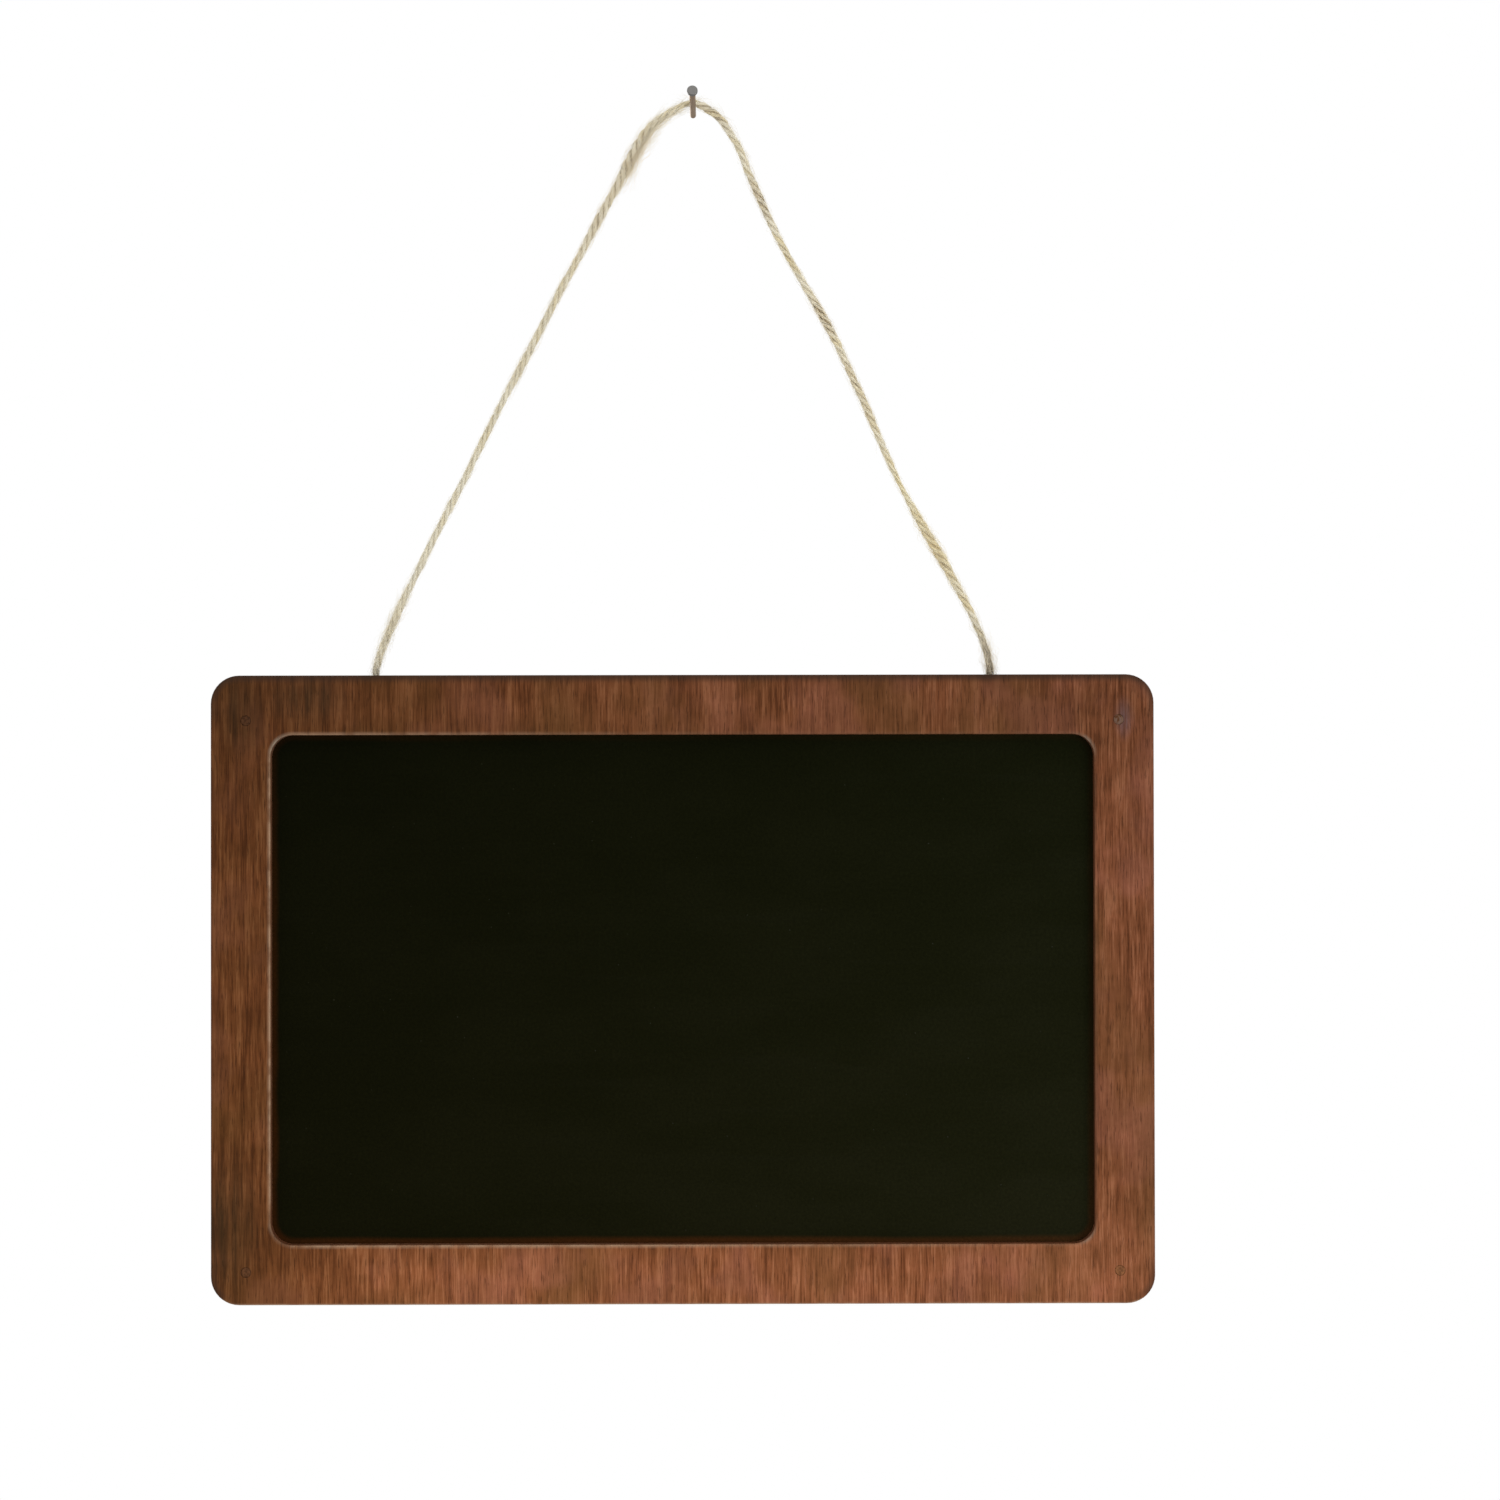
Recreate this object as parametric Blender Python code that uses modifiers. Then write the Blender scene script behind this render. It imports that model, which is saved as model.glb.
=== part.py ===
"""Wall chalkboard that hangs by a loop of twine from a nail.

A window frame in two glued layers holds a black writing panel. The twine comes out of two holes in
the top edge, and each of its ends is knotted in a pocket in the back. Metres, +Z up, the front
towards -Y. The origin is where the nail's axis enters the wall, whose face is the plane y = 0.
The board's middle hangs a little to the nail's left.
"""

from math import cos, pi, radians, sin, sqrt, tan

import bmesh
import bpy
from mathutils import Vector

# The board
BOARD_WIDTH = 0.300
BOARD_HEIGHT = 0.200
BOARD_ASIDE = -0.0035
BORDER = 0.019
CORNER_RADIUS = 0.009
WINDOW_RADIUS = 0.007
FRONT_THICKNESS = 0.004
REAR_THICKNESS = 0.008
ARRIS = 0.0008
SEAT_GAP = 0.0003

# The writing panel
PANEL_THICKNESS = 0.003
PANEL_LAP = 0.004
PANEL_PLAY = 0.0004
PANEL_ARRIS = 0.0003

# The twine, its holes and the pockets for its knots
HANG_DROP = 0.181
TWINE_DIAMETER = 0.0032
TWINE_WALL_GAP = 0.0002
HOLE_SPREAD = 0.197
HOLE_DIAMETER = 0.0042
BEND_LIFT = 0.0012
POCKET_WIDTH = 0.013
POCKET_HEIGHT = 0.009
POCKET_DEPTH = 0.007
POCKET_DROP = 0.004
KNOT_WIDTH = 0.0092
KNOT_DEPTH = 0.0054
KNOT_HEIGHT = 0.0070
KNOT_GROOVE = 0.0006
KNOT_END_DIAMETER = 0.0026

# The nail
NAIL_DIAMETER = 0.002
NAIL_HEAD_DIAMETER = 0.0034
NAIL_HEAD_THICKNESS = 0.0012
NAIL_HEAD_ROUND = 0.0002
NAIL_OUT = 0.017
NAIL_IN = 0.019
NAIL_POINT = 0.003
NAIL_SLANT = radians(15)

# The pins that tack the layers together while the glue sets
PIN_DIAMETER = 0.0014
PIN_HEAD_DIAMETER = 0.0028
PIN_HEAD_THICKNESS = 0.0008
PIN_HEAD_SINK = 0.0002
PIN_LENGTH = 0.0095
PIN_POINT = 0.0015
PIN_FROM_SIDE = 0.0112
PIN_FROM_TOP = 0.0144
PIN_FROM_BOTTOM = 0.0105
PIN_PLAY = 0.0003

# How finely round shapes are drawn
CORNER_STEPS = 10
ARRIS_STEPS = 3
HOLE_SIDES = 32
NAIL_SIDES = 24
PIN_SIDES = 16
KNOT_SIDES = 24
KNOT_STEPS = 16
TWINE_BEVEL_STEPS = 2
DOME_STEPS = 4
CURVE_STEPS = 8
TWINE_STEP_SHARE = 2
SHARP_ANGLE = radians(35)
MERGE = 0.00001
OVERRUN = 0.002

# The twine's two legs as they hang, from the top of the nail to the bend over each hole: (x, z)
LEFT_LEG = [
    (-0.0040, 0.0020), (-0.0085, -0.0005), (-0.0118, -0.0031), (-0.0146, -0.0066), (-0.0175, -0.0115),
    (-0.0213, -0.0183), (-0.0287, -0.0312), (-0.0355, -0.0441), (-0.0425, -0.0569), (-0.0491, -0.0698),
    (-0.0558, -0.0827), (-0.0626, -0.0956), (-0.0689, -0.1084), (-0.0753, -0.1213), (-0.0819, -0.1341),
    (-0.0883, -0.1470), (-0.0945, -0.1598), (-0.0989, -0.1701), (-0.1010, -0.1760), (-0.1020, -0.1798),
]
RIGHT_LEG = [
    (0.0036, 0.0020), (0.0074, -0.0006), (0.0101, -0.0034), (0.0121, -0.0070), (0.0143, -0.0117),
    (0.0175, -0.0183), (0.0231, -0.0312), (0.0294, -0.0441), (0.0367, -0.0570), (0.0440, -0.0699),
    (0.0501, -0.0828), (0.0559, -0.0957), (0.0613, -0.1086), (0.0672, -0.1215), (0.0743, -0.1343),
    (0.0816, -0.1472), (0.0885, -0.1601), (0.0925, -0.1690), (0.0944, -0.1750), (0.0950, -0.1798),
]

# Places worked out from the sizes
BOARD_TOP = -HANG_DROP
BOARD_BOTTOM = BOARD_TOP - BOARD_HEIGHT
BOARD_MIDDLE = (BOARD_TOP + BOARD_BOTTOM) / 2
REAR_FACE = -REAR_THICKNESS
FRONT_BACK_FACE = REAR_FACE - SEAT_GAP
FRONT_FACE = FRONT_BACK_FACE - FRONT_THICKNESS
PANEL_FRONT = FRONT_BACK_FACE + SEAT_GAP
PANEL_BACK = PANEL_FRONT + PANEL_THICKNESS
REBATE_FLOOR = PANEL_BACK + SEAT_GAP
WINDOW_WIDTH = BOARD_WIDTH - 2 * BORDER
WINDOW_HEIGHT = BOARD_HEIGHT - 2 * BORDER
TWINE_RADIUS = TWINE_DIAMETER / 2
HOLE_Y = -REAR_THICKNESS / 2
BEND_Z = BOARD_TOP + BEND_LIFT
POCKET_TOP = BOARD_TOP - POCKET_DROP
POCKET_MIDDLE = POCKET_TOP - POCKET_HEIGHT / 2
TAIL_TOP = BEND_Z - TWINE_RADIUS - SEAT_GAP
KNOT_TOP = POCKET_MIDDLE + KNOT_HEIGHT / 2

# The twine lies on the nail, just clear of the wall
TWINE_TOP_Y = -TWINE_RADIUS - TWINE_WALL_GAP
SEAT_REACH = NAIL_DIAMETER / 2 + SEAT_GAP + TWINE_RADIUS
TWINE_TOP_Z = (SEAT_REACH * sin(NAIL_SLANT) - TWINE_TOP_Y) * tan(NAIL_SLANT) + SEAT_REACH * cos(NAIL_SLANT)
SWING_Z = -TWINE_TOP_Y * tan(NAIL_SLANT)


def clear_scene():
    """Takes out whatever the file held before."""
    for old in list(bpy.data.objects):
        bpy.data.objects.remove(old)


def new_collection(name):
    made = bpy.data.collections.new(name)
    bpy.context.scene.collection.children.link(made)
    return made


def finish_material(name, colour, roughness, metallic=0.0):
    """A Principled material of one plain finish."""
    material = bpy.data.materials.new(name)
    material.use_nodes = True
    shader = material.node_tree.nodes["Principled BSDF"]
    shader.inputs["Base Color"].default_value = (*colour, 1.0)
    shader.inputs["Roughness"].default_value = roughness
    shader.inputs["Metallic"].default_value = metallic
    return material


def mesh_object(name, solid, collection):
    """Makes an object of a finished bmesh and frees the bmesh."""
    mesh = bpy.data.meshes.new(name)
    solid.to_mesh(mesh)
    solid.free()
    made = bpy.data.objects.new(name, mesh)
    collection.objects.link(made)
    return made


def seat(piece, axis, place):
    """Hangs a piece on its joint's axis, at a place given in the world's coordinates."""
    piece.parent = axis
    anchor = axis
    while anchor is not None:
        place = place - anchor.location
        anchor = anchor.parent
    piece.location = place


def joint_axis(name, place, collection, parent=None):
    """An empty on a joint's axis. The pieces that the joint moves hang on it."""
    empty = bpy.data.objects.new(name, None)
    empty.empty_display_size = BORDER
    collection.objects.link(empty)
    empty.location = place - parent.location if parent else place
    empty.parent = parent
    return empty


def rounded_slab(name, width, depth, height, radius, collection):
    """A box about its own centre whose four edges along Y are rounded."""
    solid = bmesh.new()
    bmesh.ops.create_cube(solid, size=1)
    bmesh.ops.scale(solid, vec=(width, depth, height), verts=solid.verts)
    corners = [e for e in solid.edges if abs(e.verts[0].co.y - e.verts[1].co.y) > depth / 2]
    bmesh.ops.bevel(
        solid, geom=corners, offset=radius, segments=CORNER_STEPS, profile=0.5, affect="EDGES"
    )
    return mesh_object(name, solid, collection)


def round_bar(name, radius, length, sides, collection):
    """A cylinder about its own centre, along its own Z."""
    solid = bmesh.new()
    bmesh.ops.create_cone(
        solid, cap_ends=True, segments=sides, radius1=radius, radius2=radius, depth=length
    )
    return mesh_object(name, solid, collection)


def turned(name, profile, sides, collection):
    """A turned piece: its profile of (radius, height) points runs from the top down and turns round Z."""
    mesh = bpy.data.meshes.new(name)
    rows = [(radius, 0, height) for radius, height in profile]
    mesh.from_pydata(rows, [(i, i + 1) for i in range(len(rows) - 1)], [])
    piece = bpy.data.objects.new(name, mesh)
    collection.objects.link(piece)
    screw = piece.modifiers.new("turn", "SCREW")
    screw.angle = 2 * pi
    screw.steps = sides
    screw.render_steps = sides
    screw.use_merge_vertices = True
    screw.merge_threshold = MERGE
    return piece


def combine(piece, other, operation, solver="EXACT"):
    """Adds or cuts the other object's shape, which isn't a piece of its own."""
    other.hide_render = True
    other.display_type = "WIRE"
    boolean = piece.modifiers.new(operation.lower() + " " + other.name, "BOOLEAN")
    boolean.operation = operation
    boolean.solver = solver
    boolean.object = other


def cut(piece, cutter):
    combine(piece, cutter, "DIFFERENCE")


def cut_small(piece, cutter):
    """Cuts a small hole. The exact solver can drop one of its sides, which the fast one doesn't."""
    combine(piece, cutter, "DIFFERENCE", "FAST")


def join(piece, addition):
    combine(piece, addition, "UNION")


def apply_modifiers(piece):
    """Puts the cuts made so far into the piece's own mesh."""
    bpy.context.view_layer.update()
    shaped = piece.evaluated_get(bpy.context.evaluated_depsgraph_get())
    piece.data = bpy.data.meshes.new_from_object(shaped)
    piece.modifiers.clear()


def ease_face(piece, side, width):
    """Rounds the arrises of the face that points along Y to one side, -1 in front or 1 behind."""
    solid = bmesh.new()
    solid.from_mesh(piece.data)
    face_y = max(side * v.co.y for v in solid.verts)
    arrises = [
        e
        for e in solid.edges
        if all(abs(side * v.co.y - face_y) < MERGE for v in e.verts)
        and e.calc_face_angle(0) > SHARP_ANGLE
    ]
    bmesh.ops.bevel(
        solid, geom=arrises, offset=width, segments=ARRIS_STEPS, profile=0.5, affect="EDGES"
    )
    solid.to_mesh(piece.data)
    solid.free()


def shade_round(piece):
    """Shades a piece smooth but for its sharp edges."""
    piece.data.shade_smooth()
    piece.data.set_sharp_from_angle(angle=SHARP_ANGLE)


def smooth_curve(points):
    """Close points on a smooth curve that passes through each of the route's points."""
    ends = [2 * points[0] - points[1], *points, 2 * points[-1] - points[-2]]
    fine = []
    for before, here, there, after in zip(ends, ends[1:], ends[2:], ends[3:]):
        for i in range(CURVE_STEPS):
            t = i / CURVE_STEPS
            fine.append(
                here
                + (there - before) * t / 2
                + (2 * before - 5 * here + 4 * there - after) * t**2 / 2
                + (3 * here - before - 3 * there + after) * t**3 / 2
            )
    fine.append(points[-1])
    return fine


def even_points(curve, step):
    """Points on the curve, about a step apart, with both of its ends, and the curve's length."""
    run = [0.0]
    for a, b in zip(curve, curve[1:]):
        run.append(run[-1] + (b - a).length)
    count = max(2, round(run[-1] / step))
    even, i = [], 0
    for k in range(count + 1):
        wanted = run[-1] * k / count
        while i < len(run) - 2 and run[i + 1] < wanted:
            i += 1
        even.append(curve[i].lerp(curve[i + 1], (wanted - run[i]) / (run[i + 1] - run[i])))
    return even, run[-1]


def twine_tube(name, points, radii, collection):
    """A round tube along the points, with its ends closed."""
    line = bpy.data.curves.new(name, "CURVE")
    line.dimensions = "3D"
    line.bevel_depth = TWINE_RADIUS
    line.bevel_resolution = TWINE_BEVEL_STEPS
    line.use_fill_caps = True
    spline = line.splines.new("POLY")
    spline.points.add(len(points) - 1)
    for point, place, radius in zip(spline.points, points, radii):
        point.co = (*place, 1)
        point.radius = radius
    piece = bpy.data.objects.new(name, line)
    collection.objects.link(piece)
    return piece


def hole_x(side):
    """A twine hole's place along X, to one side, -1 on the left or 1 on the right."""
    return BOARD_ASIDE + side * HOLE_SPREAD / 2


def leg_places(route, mouth):
    """One leg's points, in space. The route is stretched to end at its mouth, and the twine leaves
    the wall little by little, from its place on the nail to the hole's."""
    wide = mouth.x / route[-1][0]
    tall = mouth.z / route[-1][1]
    places = []
    for x, z in route:
        down = (TWINE_TOP_Z - z * tall) / (TWINE_TOP_Z - mouth.z)
        places.append(Vector((x * wide, TWINE_TOP_Y + (mouth.y - TWINE_TOP_Y) * down, z * tall)))
    return places


def make_twine_loop(collection):
    """The free stretch of the twine, over the nail and down to the bends above the two holes.
    Each end is a half ball about its bend, so that the board can tilt under it."""
    left = leg_places(LEFT_LEG, Vector((hole_x(-1), HOLE_Y, BEND_Z)))
    right = leg_places(RIGHT_LEG, Vector((hole_x(1), HOLE_Y, BEND_Z)))
    over = Vector((0, TWINE_TOP_Y, TWINE_TOP_Z))
    curve = smooth_curve([*reversed(left), over, *right])
    top = curve.index(over)
    step = TWINE_DIAMETER * TWINE_STEP_SHARE
    left_points, left_length = even_points(curve[: top + 1], step)
    right_points, right_length = even_points(curve[top:], step)
    spaced = [*left_points, *right_points[1:]]
    turns = [pi / 2 * i / DOME_STEPS for i in range(1, DOME_STEPS + 1)]
    drops = [TWINE_RADIUS * sin(turn) for turn in turns]
    shares = [max(cos(turn), MERGE / TWINE_RADIUS) for turn in turns]
    first = [spaced[0] - Vector((0, 0, drop)) for drop in reversed(drops)]
    last = [spaced[-1] - Vector((0, 0, drop)) for drop in drops]
    points = [*first, *spaced, *last]
    radii = [*reversed(shares), *[1.0] * len(spaced), *shares]
    print(f"free twine {left_length + right_length:.4f} m in {len(points)} points")
    return twine_tube("twine_loop", points, radii, collection)


def make_twine_tail(name, side, collection):
    """The twine's end where it runs down its hole to its knot."""
    x = hole_x(side)
    points = [Vector((x, HOLE_Y, TAIL_TOP)), Vector((x, HOLE_Y, KNOT_TOP + SEAT_GAP))]
    return twine_tube(name, points, [1.0, 1.0], collection)


def make_knot(name, side, axis, parts, cutters):
    """An overhand knot pulled tight: two turns round the twine, pressed flat to fit the pocket, with
    a short free end that points away from the board's middle."""
    half_height = KNOT_HEIGHT / 2
    widest = KNOT_DEPTH / 2
    profile = [(0, half_height)]
    for i in range(1, KNOT_STEPS):
        across = 1 - 2 * i / KNOT_STEPS
        barrel = sqrt(1 - across**2) * widest
        profile.append((barrel - KNOT_GROOVE * cos(pi * across) ** 2 * (1 - across**2), across * half_height))
    profile.append((0, -half_height))
    knot = turned(name, profile, KNOT_SIDES, parts)
    knot.scale.x = KNOT_WIDTH / KNOT_DEPTH
    place = Vector((hole_x(side), HOLE_Y, POCKET_MIDDLE))
    seat(knot, axis, place)

    end_radius = KNOT_END_DIAMETER / 2
    end_length = POCKET_WIDTH / 2 - SEAT_GAP
    free_end = round_bar(f"free end {name}", end_radius, end_length, KNOT_SIDES, cutters)
    free_end.rotation_euler.y = pi / 2
    seat(free_end, axis, place + Vector((side * end_length / 2, 0, end_radius - half_height / 2)))
    join(knot, free_end)
    return knot


def make_nail(collection):
    """A round wire nail. Its own Z points out of the wall, along the nail."""
    shank = NAIL_DIAMETER / 2
    head = NAIL_HEAD_DIAMETER / 2
    under_head = NAIL_OUT - NAIL_HEAD_THICKNESS
    profile = [
        (0, NAIL_OUT),
        (head - NAIL_HEAD_ROUND, NAIL_OUT),
        (head, NAIL_OUT - NAIL_HEAD_ROUND),
        (head, under_head + NAIL_HEAD_ROUND),
        (head - NAIL_HEAD_ROUND, under_head),
        (shank + NAIL_HEAD_ROUND, under_head),
        (shank, under_head - NAIL_HEAD_ROUND),
        (shank, NAIL_POINT - NAIL_IN),
        (0, -NAIL_IN),
    ]
    piece = turned("wall_nail", profile, NAIL_SIDES, collection)
    piece.rotation_euler.x = pi / 2 - NAIL_SLANT
    return piece


def make_pin(name, collection):
    """A corner pin. Its own Z points out of the board, and its origin is in the front layer's face."""
    shank = PIN_DIAMETER / 2
    head = PIN_HEAD_DIAMETER / 2
    top = -PIN_HEAD_SINK
    profile = [
        (0, top),
        (head, top),
        (head, top - PIN_HEAD_THICKNESS),
        (shank, top - PIN_HEAD_THICKNESS),
        (shank, top - PIN_LENGTH + PIN_POINT),
        (0, top - PIN_LENGTH),
    ]
    piece = turned(name, profile, PIN_SIDES, collection)
    piece.rotation_euler.x = pi / 2
    return piece


def pin_places():
    """Each corner pin's name and its place in the front layer's face."""
    across = BOARD_WIDTH / 2 - PIN_FROM_SIDE
    rows = (("top", BOARD_TOP - PIN_FROM_TOP), ("bottom", BOARD_BOTTOM + PIN_FROM_BOTTOM))
    return {
        f"corner_pin_{row}_{side_name}": Vector((BOARD_ASIDE + side * across, FRONT_FACE, z))
        for row, z in rows
        for side_name, side in (("left", -1), ("right", 1))
    }


def make_pin_holes(axis, cutters):
    """The cutters for the pins' stepped holes, with room round each shank and head."""
    shank = PIN_DIAMETER / 2 + PIN_PLAY
    head = PIN_HEAD_DIAMETER / 2 + PIN_PLAY
    head_floor = -(PIN_HEAD_SINK + PIN_HEAD_THICKNESS + PIN_PLAY)
    profile = [
        (0, OVERRUN),
        (head, OVERRUN),
        (head, head_floor),
        (shank, head_floor),
        (shank, -(PIN_HEAD_SINK + PIN_LENGTH + PIN_PLAY)),
        (0, -(PIN_HEAD_SINK + PIN_LENGTH + PIN_PLAY)),
    ]
    holes = []
    for name, place in pin_places().items():
        hole = turned(f"hole {name}", profile, PIN_SIDES, cutters)
        hole.rotation_euler.x = pi / 2
        seat(hole, axis, place)
        holes.append(hole)
    return holes


def make_front_frame(axis, pin_holes, parts, cutters):
    """The front layer: one sheet with a round-cornered window, its front arrises eased."""
    middle = Vector((BOARD_ASIDE, (FRONT_FACE + FRONT_BACK_FACE) / 2, BOARD_MIDDLE))
    layer = rounded_slab("front_frame", BOARD_WIDTH, FRONT_THICKNESS, BOARD_HEIGHT, CORNER_RADIUS, parts)
    window = rounded_slab(
        "front window", WINDOW_WIDTH, FRONT_THICKNESS + OVERRUN, WINDOW_HEIGHT, WINDOW_RADIUS, cutters
    )
    seat(layer, axis, middle)
    seat(window, axis, middle)
    cut(layer, window)
    apply_modifiers(layer)
    ease_face(layer, -1, ARRIS)
    shade_round(layer)
    for hole in pin_holes:
        cut_small(layer, hole)
    return layer


def make_rear_frame(axis, pin_holes, parts, cutters):
    """The rear layer: the same window, a rebate for the panel, the twine's holes and knot pockets."""
    middle = Vector((BOARD_ASIDE, REAR_FACE / 2, BOARD_MIDDLE))
    layer = rounded_slab("rear_frame", BOARD_WIDTH, REAR_THICKNESS, BOARD_HEIGHT, CORNER_RADIUS, parts)
    window = rounded_slab(
        "rear window", WINDOW_WIDTH, REAR_THICKNESS + OVERRUN, WINDOW_HEIGHT, WINDOW_RADIUS, cutters
    )
    rebate_depth = REBATE_FLOOR - REAR_FACE + OVERRUN
    rebate = rounded_slab(
        "panel rebate",
        WINDOW_WIDTH + 2 * PANEL_LAP,
        rebate_depth,
        WINDOW_HEIGHT + 2 * PANEL_LAP,
        WINDOW_RADIUS + PANEL_LAP,
        cutters,
    )
    seat(layer, axis, middle)
    seat(window, axis, middle)
    seat(rebate, axis, Vector((BOARD_ASIDE, REBATE_FLOOR - rebate_depth / 2, BOARD_MIDDLE)))
    cut(layer, window)
    apply_modifiers(layer)
    ease_face(layer, 1, ARRIS)
    shade_round(layer)
    cut(layer, rebate)
    for side_name, side in (("left", -1), ("right", 1)):
        x = hole_x(side)
        pocket = rounded_slab(
            f"knot pocket {side_name}",
            POCKET_WIDTH,
            POCKET_DEPTH + OVERRUN,
            POCKET_HEIGHT,
            min(POCKET_WIDTH, POCKET_HEIGHT) / 2 - SEAT_GAP,
            cutters,
        )
        seat(pocket, axis, Vector((x, (OVERRUN - POCKET_DEPTH) / 2, POCKET_MIDDLE)))
        cut(layer, pocket)
        length = POCKET_DROP + POCKET_HEIGHT / 2 + OVERRUN
        hole = round_bar(f"twine hole {side_name}", HOLE_DIAMETER / 2, length, HOLE_SIDES, cutters)
        seat(hole, axis, Vector((x, HOLE_Y, BOARD_TOP + OVERRUN - length / 2)))
        cut(layer, hole)
    for hole in pin_holes:
        cut_small(layer, hole)
    return layer


def make_panel(axis, parts):
    """The writing panel, held between the two layers."""
    panel = rounded_slab(
        "chalk_panel",
        WINDOW_WIDTH + 2 * (PANEL_LAP - PANEL_PLAY),
        PANEL_THICKNESS,
        WINDOW_HEIGHT + 2 * (PANEL_LAP - PANEL_PLAY),
        WINDOW_RADIUS + PANEL_LAP - PANEL_PLAY,
        parts,
    )
    ease_face(panel, -1, PANEL_ARRIS)
    shade_round(panel)
    seat(panel, axis, Vector((BOARD_ASIDE, (PANEL_FRONT + PANEL_BACK) / 2, BOARD_MIDDLE)))
    return panel


def build():
    clear_scene()
    parts = new_collection("wall_chalkboard")
    cutters = new_collection("cutters")
    frame_wood = finish_material("stained_wood", (0.17, 0.07, 0.032), 0.55)
    rear_wood = finish_material("stained_wood_rear", (0.14, 0.058, 0.026), 0.65)
    chalk_black = finish_material("chalkboard_paint", (0.008, 0.009, 0.005), 0.8)
    jute = finish_material("jute", (0.62, 0.52, 0.36), 0.9)
    nail_steel = finish_material("nail_steel", (0.23, 0.22, 0.21), 0.4, 1.0)
    pin_steel = finish_material("pin_steel", (0.12, 0.11, 0.10), 0.5, 1.0)

    nail = make_nail(parts)
    nail.data.materials.append(nail_steel)

    swing = joint_axis("swing_axis", Vector((0, TWINE_TOP_Y, SWING_Z)), parts)
    tilt = joint_axis("tilt_axis", Vector((0, HOLE_Y, BEND_Z)), parts, parent=swing)

    loop = make_twine_loop(parts)
    seat(loop, swing, Vector((0, 0, 0)))
    loop.data.materials.append(jute)

    for side_name, side in (("left", -1), ("right", 1)):
        tail = make_twine_tail(f"twine_tail_{side_name}", side, parts)
        seat(tail, tilt, Vector((0, 0, 0)))
        tail.data.materials.append(jute)
        knot = make_knot(f"twine_knot_{side_name}", side, tilt, parts, cutters)
        knot.data.materials.append(jute)

    pin_holes = make_pin_holes(tilt, cutters)
    make_front_frame(tilt, pin_holes, parts, cutters).data.materials.append(frame_wood)
    make_rear_frame(tilt, pin_holes, parts, cutters).data.materials.append(rear_wood)
    make_panel(tilt, parts).data.materials.append(chalk_black)

    for name, place in pin_places().items():
        pin = make_pin(name, parts)
        seat(pin, tilt, place)
        pin.data.materials.append(pin_steel)


build()
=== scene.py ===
from math import radians

import bpy
import numpy as np
from mathutils import Euler, Matrix, Vector


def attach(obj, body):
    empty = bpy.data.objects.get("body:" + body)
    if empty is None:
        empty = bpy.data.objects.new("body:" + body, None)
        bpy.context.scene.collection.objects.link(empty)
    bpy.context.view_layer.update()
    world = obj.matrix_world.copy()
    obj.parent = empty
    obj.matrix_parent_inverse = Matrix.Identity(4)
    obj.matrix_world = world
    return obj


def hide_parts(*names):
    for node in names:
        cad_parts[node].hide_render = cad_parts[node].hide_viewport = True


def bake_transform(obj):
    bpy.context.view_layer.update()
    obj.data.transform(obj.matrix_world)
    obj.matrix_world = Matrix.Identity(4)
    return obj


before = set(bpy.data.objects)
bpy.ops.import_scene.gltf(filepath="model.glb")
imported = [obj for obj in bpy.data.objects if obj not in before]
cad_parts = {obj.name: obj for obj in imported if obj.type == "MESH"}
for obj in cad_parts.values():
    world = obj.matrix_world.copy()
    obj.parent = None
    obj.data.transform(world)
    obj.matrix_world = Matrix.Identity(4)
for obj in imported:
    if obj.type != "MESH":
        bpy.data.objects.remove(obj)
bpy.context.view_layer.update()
print("board loaded:", len(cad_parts), "pieces")


# the photograph's view, nearly straight on from a metre away
view = {
    "place": (0.0136, -1.0123, -0.2131),  # metres from the nail
    "up": 0.467,  # degrees
    "right": 0.25,
    "lean": -0.10,
    "lens": 75.48,  # mm
}


def placeCamera(look):
    lens = bpy.data.cameras.new("camera")
    lens.lens = look["lens"]
    eye = bpy.data.objects.new("camera", lens)
    bpy.context.scene.collection.objects.link(eye)
    aim = Euler((radians(90 + look["up"]), 0, -radians(look["right"]))).to_matrix()
    eye.location = look["place"]
    eye.rotation_euler = (aim @ Matrix.Rotation(radians(look["lean"]), 3, "Z")).to_euler()
    bpy.context.scene.camera = eye


placeCamera(view)
print("camera placed")


def newMaterial(name, roughness, specular=0.5, metallic=0.0):
    made = bpy.data.materials.new(name)
    made.use_nodes = True
    shader = made.node_tree.nodes["Principled BSDF"]
    shader.inputs["Roughness"].default_value = roughness
    shader.inputs["Specular IOR Level"].default_value = specular
    shader.inputs["Metallic"].default_value = metallic
    return made, made.node_tree, shader


def addNode(tree, kind, sockets, output=0, **settings):
    step = tree.nodes.new("ShaderNode" + kind)
    for name, value in settings.items():
        setattr(step, name, value)
    for name, value in sockets.items():
        if isinstance(value, bpy.types.NodeSocket):
            tree.links.new(value, step.inputs[name])
        else:
            step.inputs[name].default_value = value
    return step.outputs[output]


def placeOf(tree):
    return addNode(tree, "TexCoord", {}, "Object")


def part(tree, vector, axis):
    return addNode(tree, "SeparateXYZ", {0: vector}, axis)


def sums(tree, how, a, b=0.0):
    return addNode(tree, "Math", {0: a, 1: b}, operation=how)


def times(tree, a, b):
    return sums(tree, "MULTIPLY", a, b)


def plus(tree, a, b):
    return sums(tree, "ADD", a, b)


def span(tree, value, low, high, toLow=0.0, toHigh=1.0):  # a smooth step from low to high
    sockets = {0: value, 1: low, 2: high, 3: toLow, 4: toHigh}
    return addNode(tree, "MapRange", sockets, interpolation_type="SMOOTHSTEP")


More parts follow.
